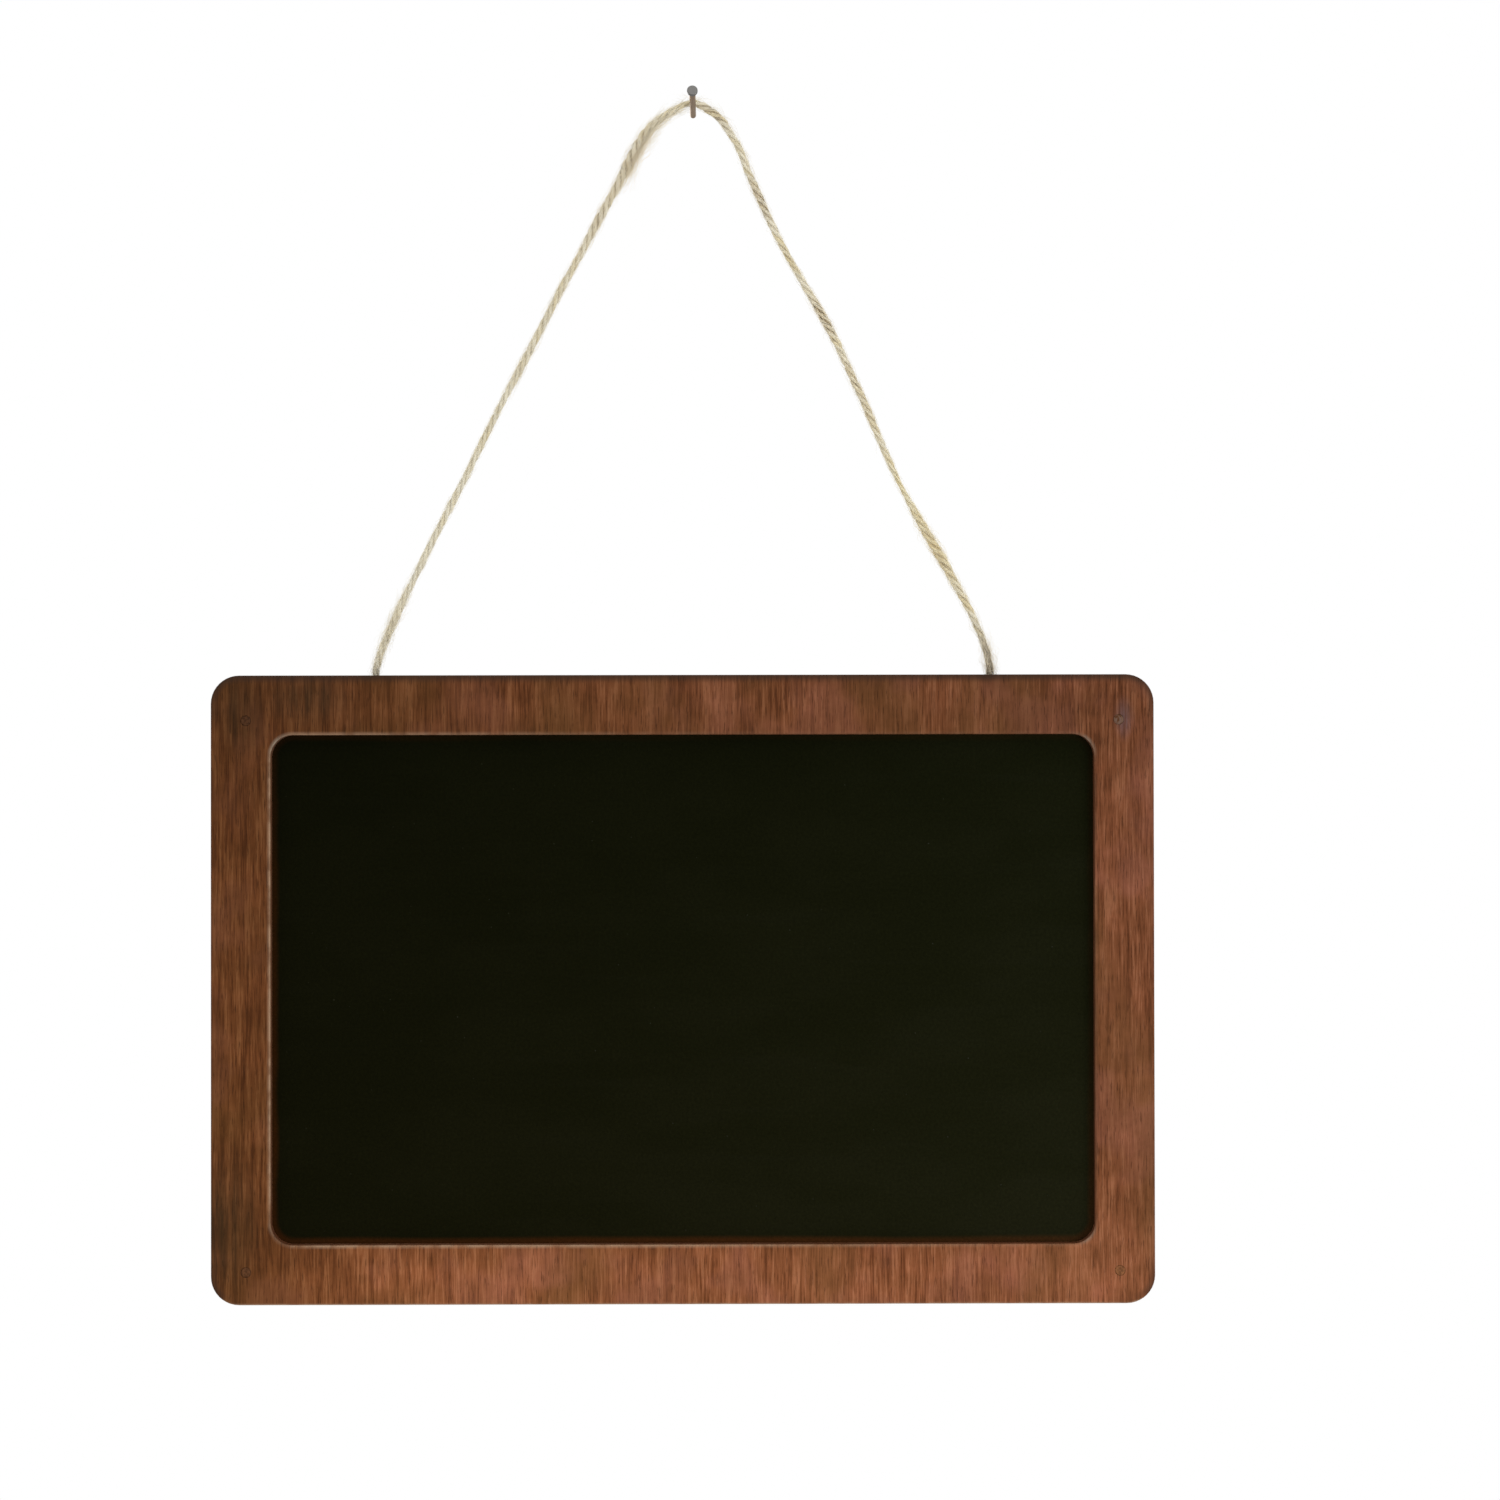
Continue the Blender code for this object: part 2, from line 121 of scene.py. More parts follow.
def grainNoise(tree, vector, size, detail=2.0, roughness=0.5, shift=(0.0, 0.0, 0.0)):
    # noise whose blotches have the given size along each axis of the vector
    scale = tuple(1 / length for length in size)
    moved = addNode(tree, "Mapping", {"Vector": vector, "Scale": scale, "Location": shift})
    sockets = {"Vector": moved, "Scale": 1.0, "Detail": detail, "Roughness": roughness}
    return addNode(tree, "TexNoise", sockets)


def aboutZero(tree, noise, amount):  # noise that goes both ways, by up to half the amount
    return times(tree, sums(tree, "SUBTRACT", noise, 0.5), amount)


def rising(tree, vector, perMetre, start=0.0):  # start, and so much more for each metre along x, y and z
    rise = addNode(tree, "VectorMath", {0: vector, 1: perMetre}, "Value", operation="DOT_PRODUCT")
    return plus(tree, rise, start) if start else rise


def keptAt(tree, name, output="Fac"):  # what pointValues has kept at each point
    return addNode(tree, "Attribute", {}, output, attribute_name=name)


def colourRamp(tree, factor, stops, how="EASE"):
    step = tree.nodes.new("ShaderNodeValToRGB")
    step.color_ramp.interpolation = how
    while len(step.color_ramp.elements) < len(stops):
        step.color_ramp.elements.new(1.0)
    for element, (place, colour) in zip(step.color_ramp.elements, stops):
        element.position = place
        element.color = (*colour, 1.0)
    tree.links.new(factor, step.inputs[0])
    return step.outputs[0]


def mixColour(tree, factor, a, b, how="MIX"):
    a = a if isinstance(a, bpy.types.NodeSocket) else (*a, 1.0)
    b = b if isinstance(b, bpy.types.NodeSocket) else (*b, 1.0)
    return addNode(tree, "Mix", {0: factor, 6: a, 7: b}, 2, data_type="RGBA", blend_type=how)


def bump(tree, shader, height, depth):
    raised = addNode(tree, "Bump", {"Height": height, "Distance": depth})
    tree.links.new(raised, shader.inputs["Normal"])


def patch(tree, vector, place, size):  # 1 in the middle of an ellipsoid, 0 outside it
    away = addNode(tree, "VectorMath", {0: vector, 1: place}, operation="SUBTRACT")
    scaled = addNode(tree, "VectorMath", {0: away, 1: size}, operation="DIVIDE")
    return span(tree, addNode(tree, "VectorMath", {0: scaled}, "Value", operation="LENGTH"), 1.0, 0.0)


# the twine's route, with the same points as in the model: (x, z) in metres from the nail
leftLeg = [
    (-0.0040, 0.0020), (-0.0085, -0.0005), (-0.0118, -0.0031), (-0.0146, -0.0066), (-0.0175, -0.0115),
    (-0.0213, -0.0183), (-0.0287, -0.0312), (-0.0355, -0.0441), (-0.0425, -0.0569), (-0.0491, -0.0698),
    (-0.0558, -0.0827), (-0.0626, -0.0956), (-0.0689, -0.1084), (-0.0753, -0.1213), (-0.0819, -0.1341),
    (-0.0883, -0.1470), (-0.0945, -0.1598), (-0.0989, -0.1701), (-0.1010, -0.1760), (-0.1020, -0.1798),
]
rightLeg = [
    (0.0036, 0.0020), (0.0074, -0.0006), (0.0101, -0.0034), (0.0121, -0.0070), (0.0143, -0.0117),
    (0.0175, -0.0183), (0.0231, -0.0312), (0.0294, -0.0441), (0.0367, -0.0570), (0.0440, -0.0699),
    (0.0501, -0.0828), (0.0559, -0.0957), (0.0613, -0.1086), (0.0672, -0.1215), (0.0743, -0.1343),
    (0.0816, -0.1472), (0.0885, -0.1601), (0.0925, -0.1690), (0.0944, -0.1750), (0.0950, -0.1798),
]

twine = {
    "diameter": 0.0032,
    "core": 0.70,  # the strands' share of the diameter; loose fibres fill the rest
    "lay": 0.0115,  # along the twine, for one full turn of its strands
    "top": (0.0, -0.0018, 0.0037),  # on the nail
    "holeY": -0.004,
    "tailEnd": -0.1856,
    "sides": 42,
    "step": 0.00045,
    "evened": 19,  # points of the route that each of its points is the mean of
    # places that differ, in metres along the twine: the middle, half the length, and how much wider,
    # fuzzier and darker it is there, how far its strands lie outside the route, and how much yellower
    "places": [
        (0.021, 0.018, 0.06, 1.5, 0.00, 0.0, 0.0),
        (0.115, 0.010, 0.20, 0.5, 0.25, 0.0, 0.0),
        (0.140, 0.022, 0.08, 0.3, 0.15, 0.0, 0.0),
        (0.167, 0.017, 0.28, 0.5, 0.50, 0.0, 0.0),
        (0.188, 0.022, 0.28, 0.7, 0.42, 0.0, 0.0),
        (0.195, 0.018, 0.32, 0.3, 0.22, 0.0008, 0.0),
        (0.212, 0.009, -0.10, 0.2, -0.30, 0.0003, 0.0),
        (0.222, 0.006, 0.22, 0.2, 0.35, 0.0, 0.0),
        (0.228, 0.009, 0.15, 0.3, 0.60, 0.0002, 0.0),
        (0.240, 0.009, 0.05, 0.3, 0.20, 0.0006, 0.1),
        (0.257, 0.014, 0.16, 0.4, 0.80, 0.0, 0.0),
        (0.277, 0.012, 0.05, 0.0, 0.35, 0.0, 0.3),
        (0.301, 0.014, 0.26, 0.5, 0.90, 0.0, 0.1),
        (0.323, 0.016, 0.08, 0.3, 0.50, 0.0, 0.1),
        (0.338, 0.010, 0.15, 0.3, 0.45, 0.0, 0.3),
        (0.360, 0.012, -0.25, 0.0, -0.10, 0.0, 0.7),
        (0.372, 0.008, 0.10, 0.6, 0.10, 0.0, 0.5),
        (0.385, 0.016, 0.42, 1.0, 0.55, 0.0, 0.6),
        (0.402, 0.010, 0.18, 0.4, 0.35, 0.0, 0.2),
        (0.424, 0.015, 0.05, 2.0, 0.30, 0.0, 0.0),
    ],
    "thinner": 0.95,
    # waves in its thickness: how strong, radians per metre, start
    "uneven": [(0.05, 310, 0), (0.04, 97, 2)],
    "flatter": (0.97, 0.15),  # its depth for its width, and how much less where it is wider
    # stain from the edges of the holes: metres from that end, and how much of it there
    "soilRight": ((0.0120, 0.0150, 0.0240), (0.9, 0.405, 0.0)),
    "soilLeft": ((0.0060, 0.0110), (0.1, 0.0)),
    "fuzz": {
        "count": 6400, "length": (0.002, 0.008), "rise": 0.00085, "thick": (0.000018, 0.000036),
        "angles": (0, 6.283), "from": 0.0, "to": 1.0,
    },
    "strays": {
        "count": 420, "length": (0.0015, 0.0065), "rise": 0.0016, "thick": (0.000024, 0.000048),
        "angles": (0, 6.283), "from": 0.0, "to": 1.0,
    },
    # fibres that have come loose to the left of the nail and hang under the twine
    "sagging": {
        "count": 700, "length": (0.004, 0.011), "rise": 0.0022, "thick": (0.000020, 0.000040),
        "angles": (2.3, 4.0), "from": 0.189, "to": 0.2120,
    },
}


def smoothPath(points, perSpan=12):
    # a Catmull-Rom curve: in each span a cubic through its two points, whose slope at each point is half
    # the step between that point's two neighbours
    ends = np.vstack([2 * points[:1] - points[1:2], points, 2 * points[-1:] - points[-2:-1]])
    before, here, there, after = (ends[i : len(ends) - 3 + i, None] for i in range(4))
    t = (np.arange(perSpan) / perSpan)[None, :, None]
    fine = (
        here
        + (there - before) * t / 2
        + (2 * before - 5 * here + 4 * there - after) * t**2 / 2
        + (3 * here - before - 3 * there + after) * t**3 / 2
    )
    return np.vstack([fine.reshape(-1, 3), points[-1:]])


def evenPath(path, step):
    # the same curve with its points a step apart, and how far along it each one is
    run = np.concatenate([[0], np.cumsum(np.linalg.norm(np.diff(path, axis=0), axis=1))])
    places = np.linspace(0, run[-1], int(round(run[-1] / step)) + 1)
    return np.stack([np.interp(places, run, path[:, k]) for k in range(3)], axis=1), places


def twineRoute(look):
    # up out of the left hole, over the nail and down into the right hole. The twine leaves the wall as
    # it drops: its y runs evenly with its height, from its place on the nail to the holes'
    legs = np.array([*reversed(leftLeg), (look["top"][0], look["top"][2]), *rightLeg])
    down = (look["top"][2] - legs[:, 1]) / (look["top"][2] - legs[0, 1])
    y = look["top"][1] + (look["holeY"] - look["top"][1]) * down
    route = np.stack([legs[:, 0], y, legs[:, 1]], axis=1)
    drop = np.array([0, 0, look["tailEnd"] - route[0, 2]])
    left, right = route[:1], route[-1:]
    return np.vstack([left + drop, left + drop / 2, route, right + drop / 2, right + drop])


def evened(path, count):
    # each point becomes the mean of the count points around it, weighed most in the middle, with the path
    # carried on past its ends
    weights = np.hanning(count + 2)[1:-1]
    half = count // 2
    longer = np.vstack([2 * path[0] - path[half:0:-1], path, 2 * path[-1] - path[-2 : -half - 2 : -1]])
    return np.stack([np.convolve(longer[:, k], weights / weights.sum(), "valid") for k in range(3)], axis=1)


def alongFrames(path):
    # at each point the path's direction, the wall's direction squared to it, and the direction across both
    ahead = np.gradient(path, axis=0)
    ahead /= np.linalg.norm(ahead, axis=1)[:, None]
    inward = np.array([[0.0, 1.0, 0.0]]) - ahead * ahead[:, 1:2]
    inward /= np.linalg.norm(inward, axis=1)[:, None]
    return ahead, inward, np.cross(ahead, inward)


strands = {
    "out": 0.47,  # from the rope's middle to a strand's, as a share of the rope's radius
    "radius": 0.53,
    # waves that make a strand fatter here and there: how strong, how many round it, radians per metre, start
    "waves": [(0.05, 1, 210, 0.0), (0.035, 2, 530, 1.0), (0.02, 9, 900, 0.0)],
}


def ropeOutline(angle, out, radius):
    # three round strands seen end on. The outline at an angle is the far side of the nearest strand, whose
    # middle is off to the side by the angle off: out * cos(off) + root(radius^2 - (out * sin(off))^2)
    third = 2 * np.pi / 3
    off = (angle + third / 2) % third - third / 2
    return out * np.cos(off) + np.sqrt(radius**2 - (out * np.sin(off)) ** 2)


def gridMesh(name, rings):
    # rings of points, each joined to the next, with a point in the middle of each end ring
    count, sides = rings.shape[:2]
    ends = np.stack([rings[0].mean(axis=0), rings[-1].mean(axis=0)])
    points = np.vstack([rings.reshape(-1, 3), ends])
    i = np.arange(count - 1)[:, None] * sides
    j = np.arange(sides)[None, :]
    k = (j + 1) % sides
    quads = np.stack([i + j, i + k, i + sides + k, i + sides + j], axis=-1).reshape(-1, 4)
    last = (count - 1) * sides
    first = np.stack([k[0], j[0], np.full(sides, count * sides)], axis=1)
    final = np.stack([last + j[0], last + k[0], np.full(sides, count * sides + 1)], axis=1)
    mesh = bpy.data.meshes.new(name)
    mesh.from_pydata(points.tolist(), [], quads.tolist() + first.tolist() + final.tolist())
    mesh.shade_smooth()
    made = bpy.data.objects.new(name, mesh)
    bpy.context.scene.collection.objects.link(made)
    return made


def pointValues(piece, name, values):  # keeps a number, or three, at each point for the material
    kind, key = ("FLOAT_VECTOR", "vector") if values.ndim > 1 else ("FLOAT", "value")
    kept = piece.data.attributes.new(name, kind, "POINT")
    kept.data.foreach_set(key, values.astype(np.float32).ravel())


def ropeMesh(name, path, places, wide, deep, lay, sides, aside=None):
    # a rope along a path. The point at angle a of a ring lies across the path by
    # wide * outline(a - turn) * cos(a), and towards the wall by deep * outline(a - turn) * sin(a), where turn
    # is the full turns made so far. The strands' waves make one a little fatter than the next
    inward, across = alongFrames(path)[1:]
    angle = np.linspace(0, 2 * np.pi, sides, endpoint=False)[None, :]
    turn = (2 * np.pi * places / lay)[:, None]
    own = angle - turn
    s = places[:, None]
    loose = np.ones_like(own)
    for strong, count, rate, start in strands["waves"]:
        loose += strong * np.sin(count * own + rate * s + start)
    outline = ropeOutline(own, strands["out"], strands["radius"]) * loose
    rings = (
        path[:, None]
        + across[:, None] * (wide[:, None] * outline * np.cos(angle))[:, :, None]
        + inward[:, None] * (deep[:, None] * outline * np.sin(angle))[:, :, None]
    )
    if aside is not None:
        rings += (across * aside[:, None])[:, None]
    piece = gridMesh(name, rings)
    # the strands' own space, which turns with them: a pattern in it runs along the strands
    run = s * np.ones_like(own) / lay * 2 * np.pi
    ownSpace = np.stack([np.cos(own), np.sin(own), run], axis=-1).reshape(-1, 3)
    pointValues(piece, "strandSpace", np.vstack([ownSpace, ownSpace[[0, -1]]]))
    depth = (outline / outline.max()).reshape(-1)
    pointValues(piece, "crest", np.concatenate([depth, [0.5, 0.5]]))
    return piece


fibres = {
    "seed": 7,
    "likely": 0.7,  # how likely one is where the twine isn't fuzzy, against how much fuzzier it grows
    "bareEnds": 4,  # points at each end of the twine with none
    "steps": 5,
    "rise": (0.1, 1.0),  # the root of its share of the most that its kind rises
    "bend": (1.1, 2.8),  # radians
    "swirl": 0.0012,
    "root": (0.80, 1.0),  # where it starts, as a share of the twine's radius
    "taper": 0.6,
    "tan": (0, 0.7),
    "tanWhereDark": 0.5,
    "darkWhereSoiled": 0.15,
}


def fibreMesh(name, path, places, along, kinds, look):
    # loose fibres: each leaves the twine's side at an angle, runs on for a few millimetres, and curls.
    # A fibre's centreline is start + along * length * u + out * rise * sin(bend * u), and its ring a
    # triangle that thins to its tip. There are more of them, and they rise further, where it is fuzzy
    rng = np.random.default_rng(look["seed"])
    ahead, inward, across = alongFrames(path)
    likely = look["likely"] + along["fuzzy"]
    likely[: look["bareEnds"]] = likely[-look["bareEnds"] :] = 0
    steps = look["steps"]
    u = np.linspace(0, 1, steps)[None, :, None]
    corner = np.array([0, 2 * np.pi / 3, 4 * np.pi / 3])[None, :, None]
    tubes, tans, yellows = [], [], []
    for kind in kinds:
        count = kind["count"]
        here = likely * ((places >= kind["from"]) & (places <= kind["to"]))
        at = rng.choice(len(path), count, p=here / here.sum())
        angle = rng.uniform(*kind["angles"], count)
        outward = across[at] * np.cos(angle)[:, None] + inward[at] * np.sin(angle)[:, None]
        beside = np.cross(ahead[at], outward)
        way = rng.choice([-1.0, 1.0], count)[:, None]
        length = rng.uniform(*kind["length"], count)[:, None, None]
        rise = rng.uniform(*look["rise"], count) ** 2 * kind["rise"] * (1 + along["fuzzy"][at])
        bend = rng.uniform(*look["bend"], count)[:, None, None]
        swirl = rng.uniform(-look["swirl"], look["swirl"], count)[:, None, None]
        radius = 1 / np.hypot(np.cos(angle) / along["wide"][at], np.sin(angle) / along["deep"][at])
        start = path[at] + outward * (radius * rng.uniform(*look["root"], count))[:, None]
        line = (
            start[:, None]
            + (ahead[at] * way)[:, None] * length * u
            + outward[:, None] * rise[:, None, None] * np.sin(bend * u)
            + beside[:, None] * swirl * u**2
        )
        thin = (1 - look["taper"] * np.linspace(0, 1, steps))[None, :]
        thick = (rng.uniform(*kind["thick"], count)[:, None] * thin)[:, :, None, None]
        turned = outward[:, None] * np.cos(corner) + beside[:, None] * np.sin(corner)
        tubes.append(line[:, :, None] + turned[:, None] * thick)
        tans.append(rng.uniform(*look["tan"], count) + look["tanWhereDark"] * along["dark"][at])
        yellows.append(along["yellow"][at])
    rings = np.concatenate(tubes)
    # every fibre is the same small tube, so one pattern of faces is shifted for each
    ring = np.arange(steps - 1)[:, None] * 3
    side = np.arange(3)[None, :]
    after = (side + 1) % 3
    quads = np.stack([ring + side, ring + after, ring + 3 + after, ring + 3 + side], axis=-1).reshape(-1, 4)
    last = 3 * (steps - 1)
    ends = np.array([[2, 1, 0], [last, last + 1, last + 2]])
    shift = (np.arange(len(rings)) * 3 * steps)[:, None, None]
    faces = (quads[None] + shift).reshape(-1, 4).tolist() + (ends[None] + shift).reshape(-1, 3).tolist()
    mesh = bpy.data.meshes.new(name)
    mesh.from_pydata(rings.reshape(-1, 3).tolist(), [], faces)
    mesh.shade_smooth()
    made = bpy.data.objects.new(name, mesh)
    bpy.context.scene.collection.objects.link(made)
    for value, each in (("tanned", tans), ("yellow", yellows)):
        pointValues(made, value, np.repeat(np.concatenate(each), 3 * steps))
    return made


def makeTwine(look):
    path, places = evenPath(smoothPath(twineRoute(look)), look["step"])
    path, places = evenPath(evened(path, look["evened"]), look["step"])
    wider, fuzzy, dark, aside, yellow = np.zeros((5, len(places)))
    for middle, half, *changes in look["places"]:
        swell = np.cos(np.clip((places - middle) / half, -1, 1) * np.pi / 2) ** 2
        for total, change in zip((wider, fuzzy, dark, aside, yellow), changes):
            total += change * swell
    radius = look["diameter"] / 2 * look["core"]
    uneven = np.full(len(places), look["thinner"])
    for strong, rate, start in look["uneven"]:
        uneven += strong * np.sin(places * rate + start)
    flat, flatter = look["flatter"]
    wide = radius * (uneven + wider)
    deep = radius * (flat - flatter * np.clip(wider, 0, 1))
    piece = ropeMesh("twine", path, places, wide, deep, look["lay"], look["sides"], aside)
    soil = np.interp(places[-1] - places, *look["soilRight"]) + np.interp(places, *look["soilLeft"])
    for kind, values in (("soiled", soil), ("dark", np.clip(dark, 0, 1)), ("yellow", yellow)):
        pointValues(piece, kind, np.concatenate([np.repeat(values, look["sides"]), values[[0, -1]]]))
    middles = path + alongFrames(path)[2] * aside[:, None]
    dark = dark + fibres["darkWhereSoiled"] * soil
    along = {"wide": wide, "deep": deep, "fuzzy": fuzzy, "dark": dark, "yellow": yellow}
    kinds = (look["fuzz"], look["strays"], look["sagging"])
    fuzz = fibreMesh("twineFibres", middles, places, along, kinds, fibres)
    print(f"twine {places[-1]:.4f} m, {len(piece.data.polygons)} faces")
    return piece, fuzz, path, places[-1]


twinePiece, twineFibres, twinePath, twineLength = makeTwine(twine)


knot = {
    "size": (0.00115, 0.00135, 0.00078),  # metres for each unit of the trefoil below: across, through, up
    "open": 0.62,  # radians left out of the trefoil at each end
    "points": 26,
    "step": 0.00022,
    "wide": 0.00122,
    # shares of its length, and how wide it is there: its cut end has frayed
    "swell": ((0, 0.08, 0.93, 1.0), (1.0, 0.96, 1.0, 1.22)),
    "lay": 0.0075,
    "sides": 36,
    "dark": 0.55,
    "pockets": {"Left": (-0.1020, -0.004, -0.1895), "Right": (0.0950, -0.004, -0.1895)},  # their middles
    "lead": [(0.0, 0.0, 0.0052), (0.0001, 0.0, 0.0040)],
    "freeEnd": [(0.0022, 0.0002, 0.0023), (0.0038, 0.0011, 0.0027), (0.0052, 0.0019, 0.0020)],
}


def makeKnot(sideName, side, look):
    # an overhand knot: an open trefoil, across = -(sin t + 2 sin 2t), up = 2 cos 2t - cos t, through =
    # -sin 3t, with the twine led into it from the hole above and its free end away from the board's middle
    t = np.linspace(np.pi + look["open"], 3 * np.pi - look["open"], look["points"])
    across, through, up = -(np.sin(t) + 2 * np.sin(2 * t)), -np.sin(3 * t), 2 * np.cos(2 * t) - np.cos(t)
    loop = np.stack([across, through, up], axis=1) * np.array(look["size"])
    points = np.vstack([look["lead"], loop, look["freeEnd"]]) * np.array([side, 1, 1])
    points += np.array(look["pockets"][sideName])
    path, places = evenPath(smoothPath(points), look["step"])
    wide = np.interp(places / places[-1], *look["swell"]) * look["wide"]
    piece = ropeMesh(f"twineKnot{sideName}", path, places, wide, wide, look["lay"], look["sides"])
    pointValues(piece, "dark", np.full(len(piece.data.vertices), look["dark"]))
    return piece


knots = {sideName: makeKnot(sideName, side, knot) for sideName, side in (("Left", -1), ("Right", 1))}
print("knots tied")

jute = {
    "pale": (0.995, 0.935, 0.755),
    "tan": (0.780, 0.670, 0.465),
    "golden": (0.870, 0.730, 0.410),
    "yellow": (1.000, 0.940, 0.720),
    "dark": (0.350, 0.270, 0.170),  # what is left of the light between two strands
    "fleck": (0.120, 0.085, 0.050),
    "soiled": (0.150, 0.108, 0.075),  # where the stained wood has rubbed off on it
    "fibre": (1.000, 0.940, 0.765),
    "fibreTan": (0.875, 0.745, 0.530),
    # its patterns, in the strands' own space: a circle of radius 1 round the twine, and 2 pi along for a turn
    "grain": (0.045, 0.045, 2.2),
    "patches": (2.5, 2.5, 14.0),
    "specks": (0.35, 0.35, 1.6),
    "relief": 0.00025,
    "roughness": 0.9,
    "shine": 0.1,
}


def juteMaterial(look):
    made, tree, shader = newMaterial("jute", look["roughness"], look["shine"])
    own = keptAt(tree, "strandSpace", "Vector")
    crest = keptAt(tree, "crest")
    soiled = keptAt(tree, "soiled")
    dark = keptAt(tree, "dark")
    fine = grainNoise(tree, own, look["grain"], 3, 0.6)
    broad = grainNoise(tree, own, look["patches"], 2)
    spots = grainNoise(tree, own, look["specks"], 2, 0.6, (3.0, 1.0, 0.0))
    tanned = times(tree, span(tree, fine, 0.60, 0.38), span(tree, dark, 0.0, 1.0, 0.12, 1.0))
    tone = mixColour(tree, tanned, look["pale"], look["tan"])
    tone = mixColour(tree, span(tree, broad, 0.48, 0.66, 0, 0.6), tone, look["golden"])
    over = sums(tree, "SUBTRACT", spots, span(tree, dark, 0.0, 1.0, 0.70, 0.56))
    flecks = addNode(tree, "MapRange", {0: over, 1: 0.0, 2: 0.05, 3: 0.0, 4: 0.85})
    tone = mixColour(tree, flecks, tone, look["fleck"])
    tone = mixColour(tree, keptAt(tree, "yellow"), tone, look["yellow"], "MULTIPLY")
    tone = mixColour(tree, soiled, tone, look["soiled"])
    # painted shade in the grooves between the strands, deepest where it is dark or soiled
    deep = span(tree, plus(tree, dark, soiled), 0.0, 1.0, 0.26, 1.0)
    paintedGrooveShade = times(tree, span(tree, crest, 0.76, 0.64), deep)
    tone = mixColour(tree, paintedGrooveShade, tone, look["dark"], "MULTIPLY")
    tree.links.new(tone, shader.inputs["Base Color"])
    bump(tree, shader, fine, look["relief"])
    return made


def fibreMaterial(look):
    made, tree, shader = newMaterial("juteFibre", look["roughness"], look["shine"])
    tone = mixColour(tree, span(tree, keptAt(tree, "tanned"), 0.2, 1.0), look["fibre"], look["fibreTan"])
    tone = mixColour(tree, keptAt(tree, "yellow"), tone, look["yellow"], "MULTIPLY")
    tree.links.new(tone, shader.inputs["Base Color"])
    return made


juteFinish = juteMaterial(jute)
fibreFinish = fibreMaterial(jute)
for piece in (twinePiece, twineFibres, *knots.values()):
    piece.data.materials.append(fibreFinish if piece is twineFibres else juteFinish)

board = {
    "centre": (-0.0035, 0.0, -0.281),
    "half": (0.150, 0.0, 0.100),
    "corner": 0.009,
    "window": (0.131, 0.0, 0.081),  # half its size
    "windowCorner": 0.007,
    "front": -0.0123,
    "top": -0.181,
    "bottom": -0.381,
    "anyDepth": 0.05,  # reaches through the whole board
}
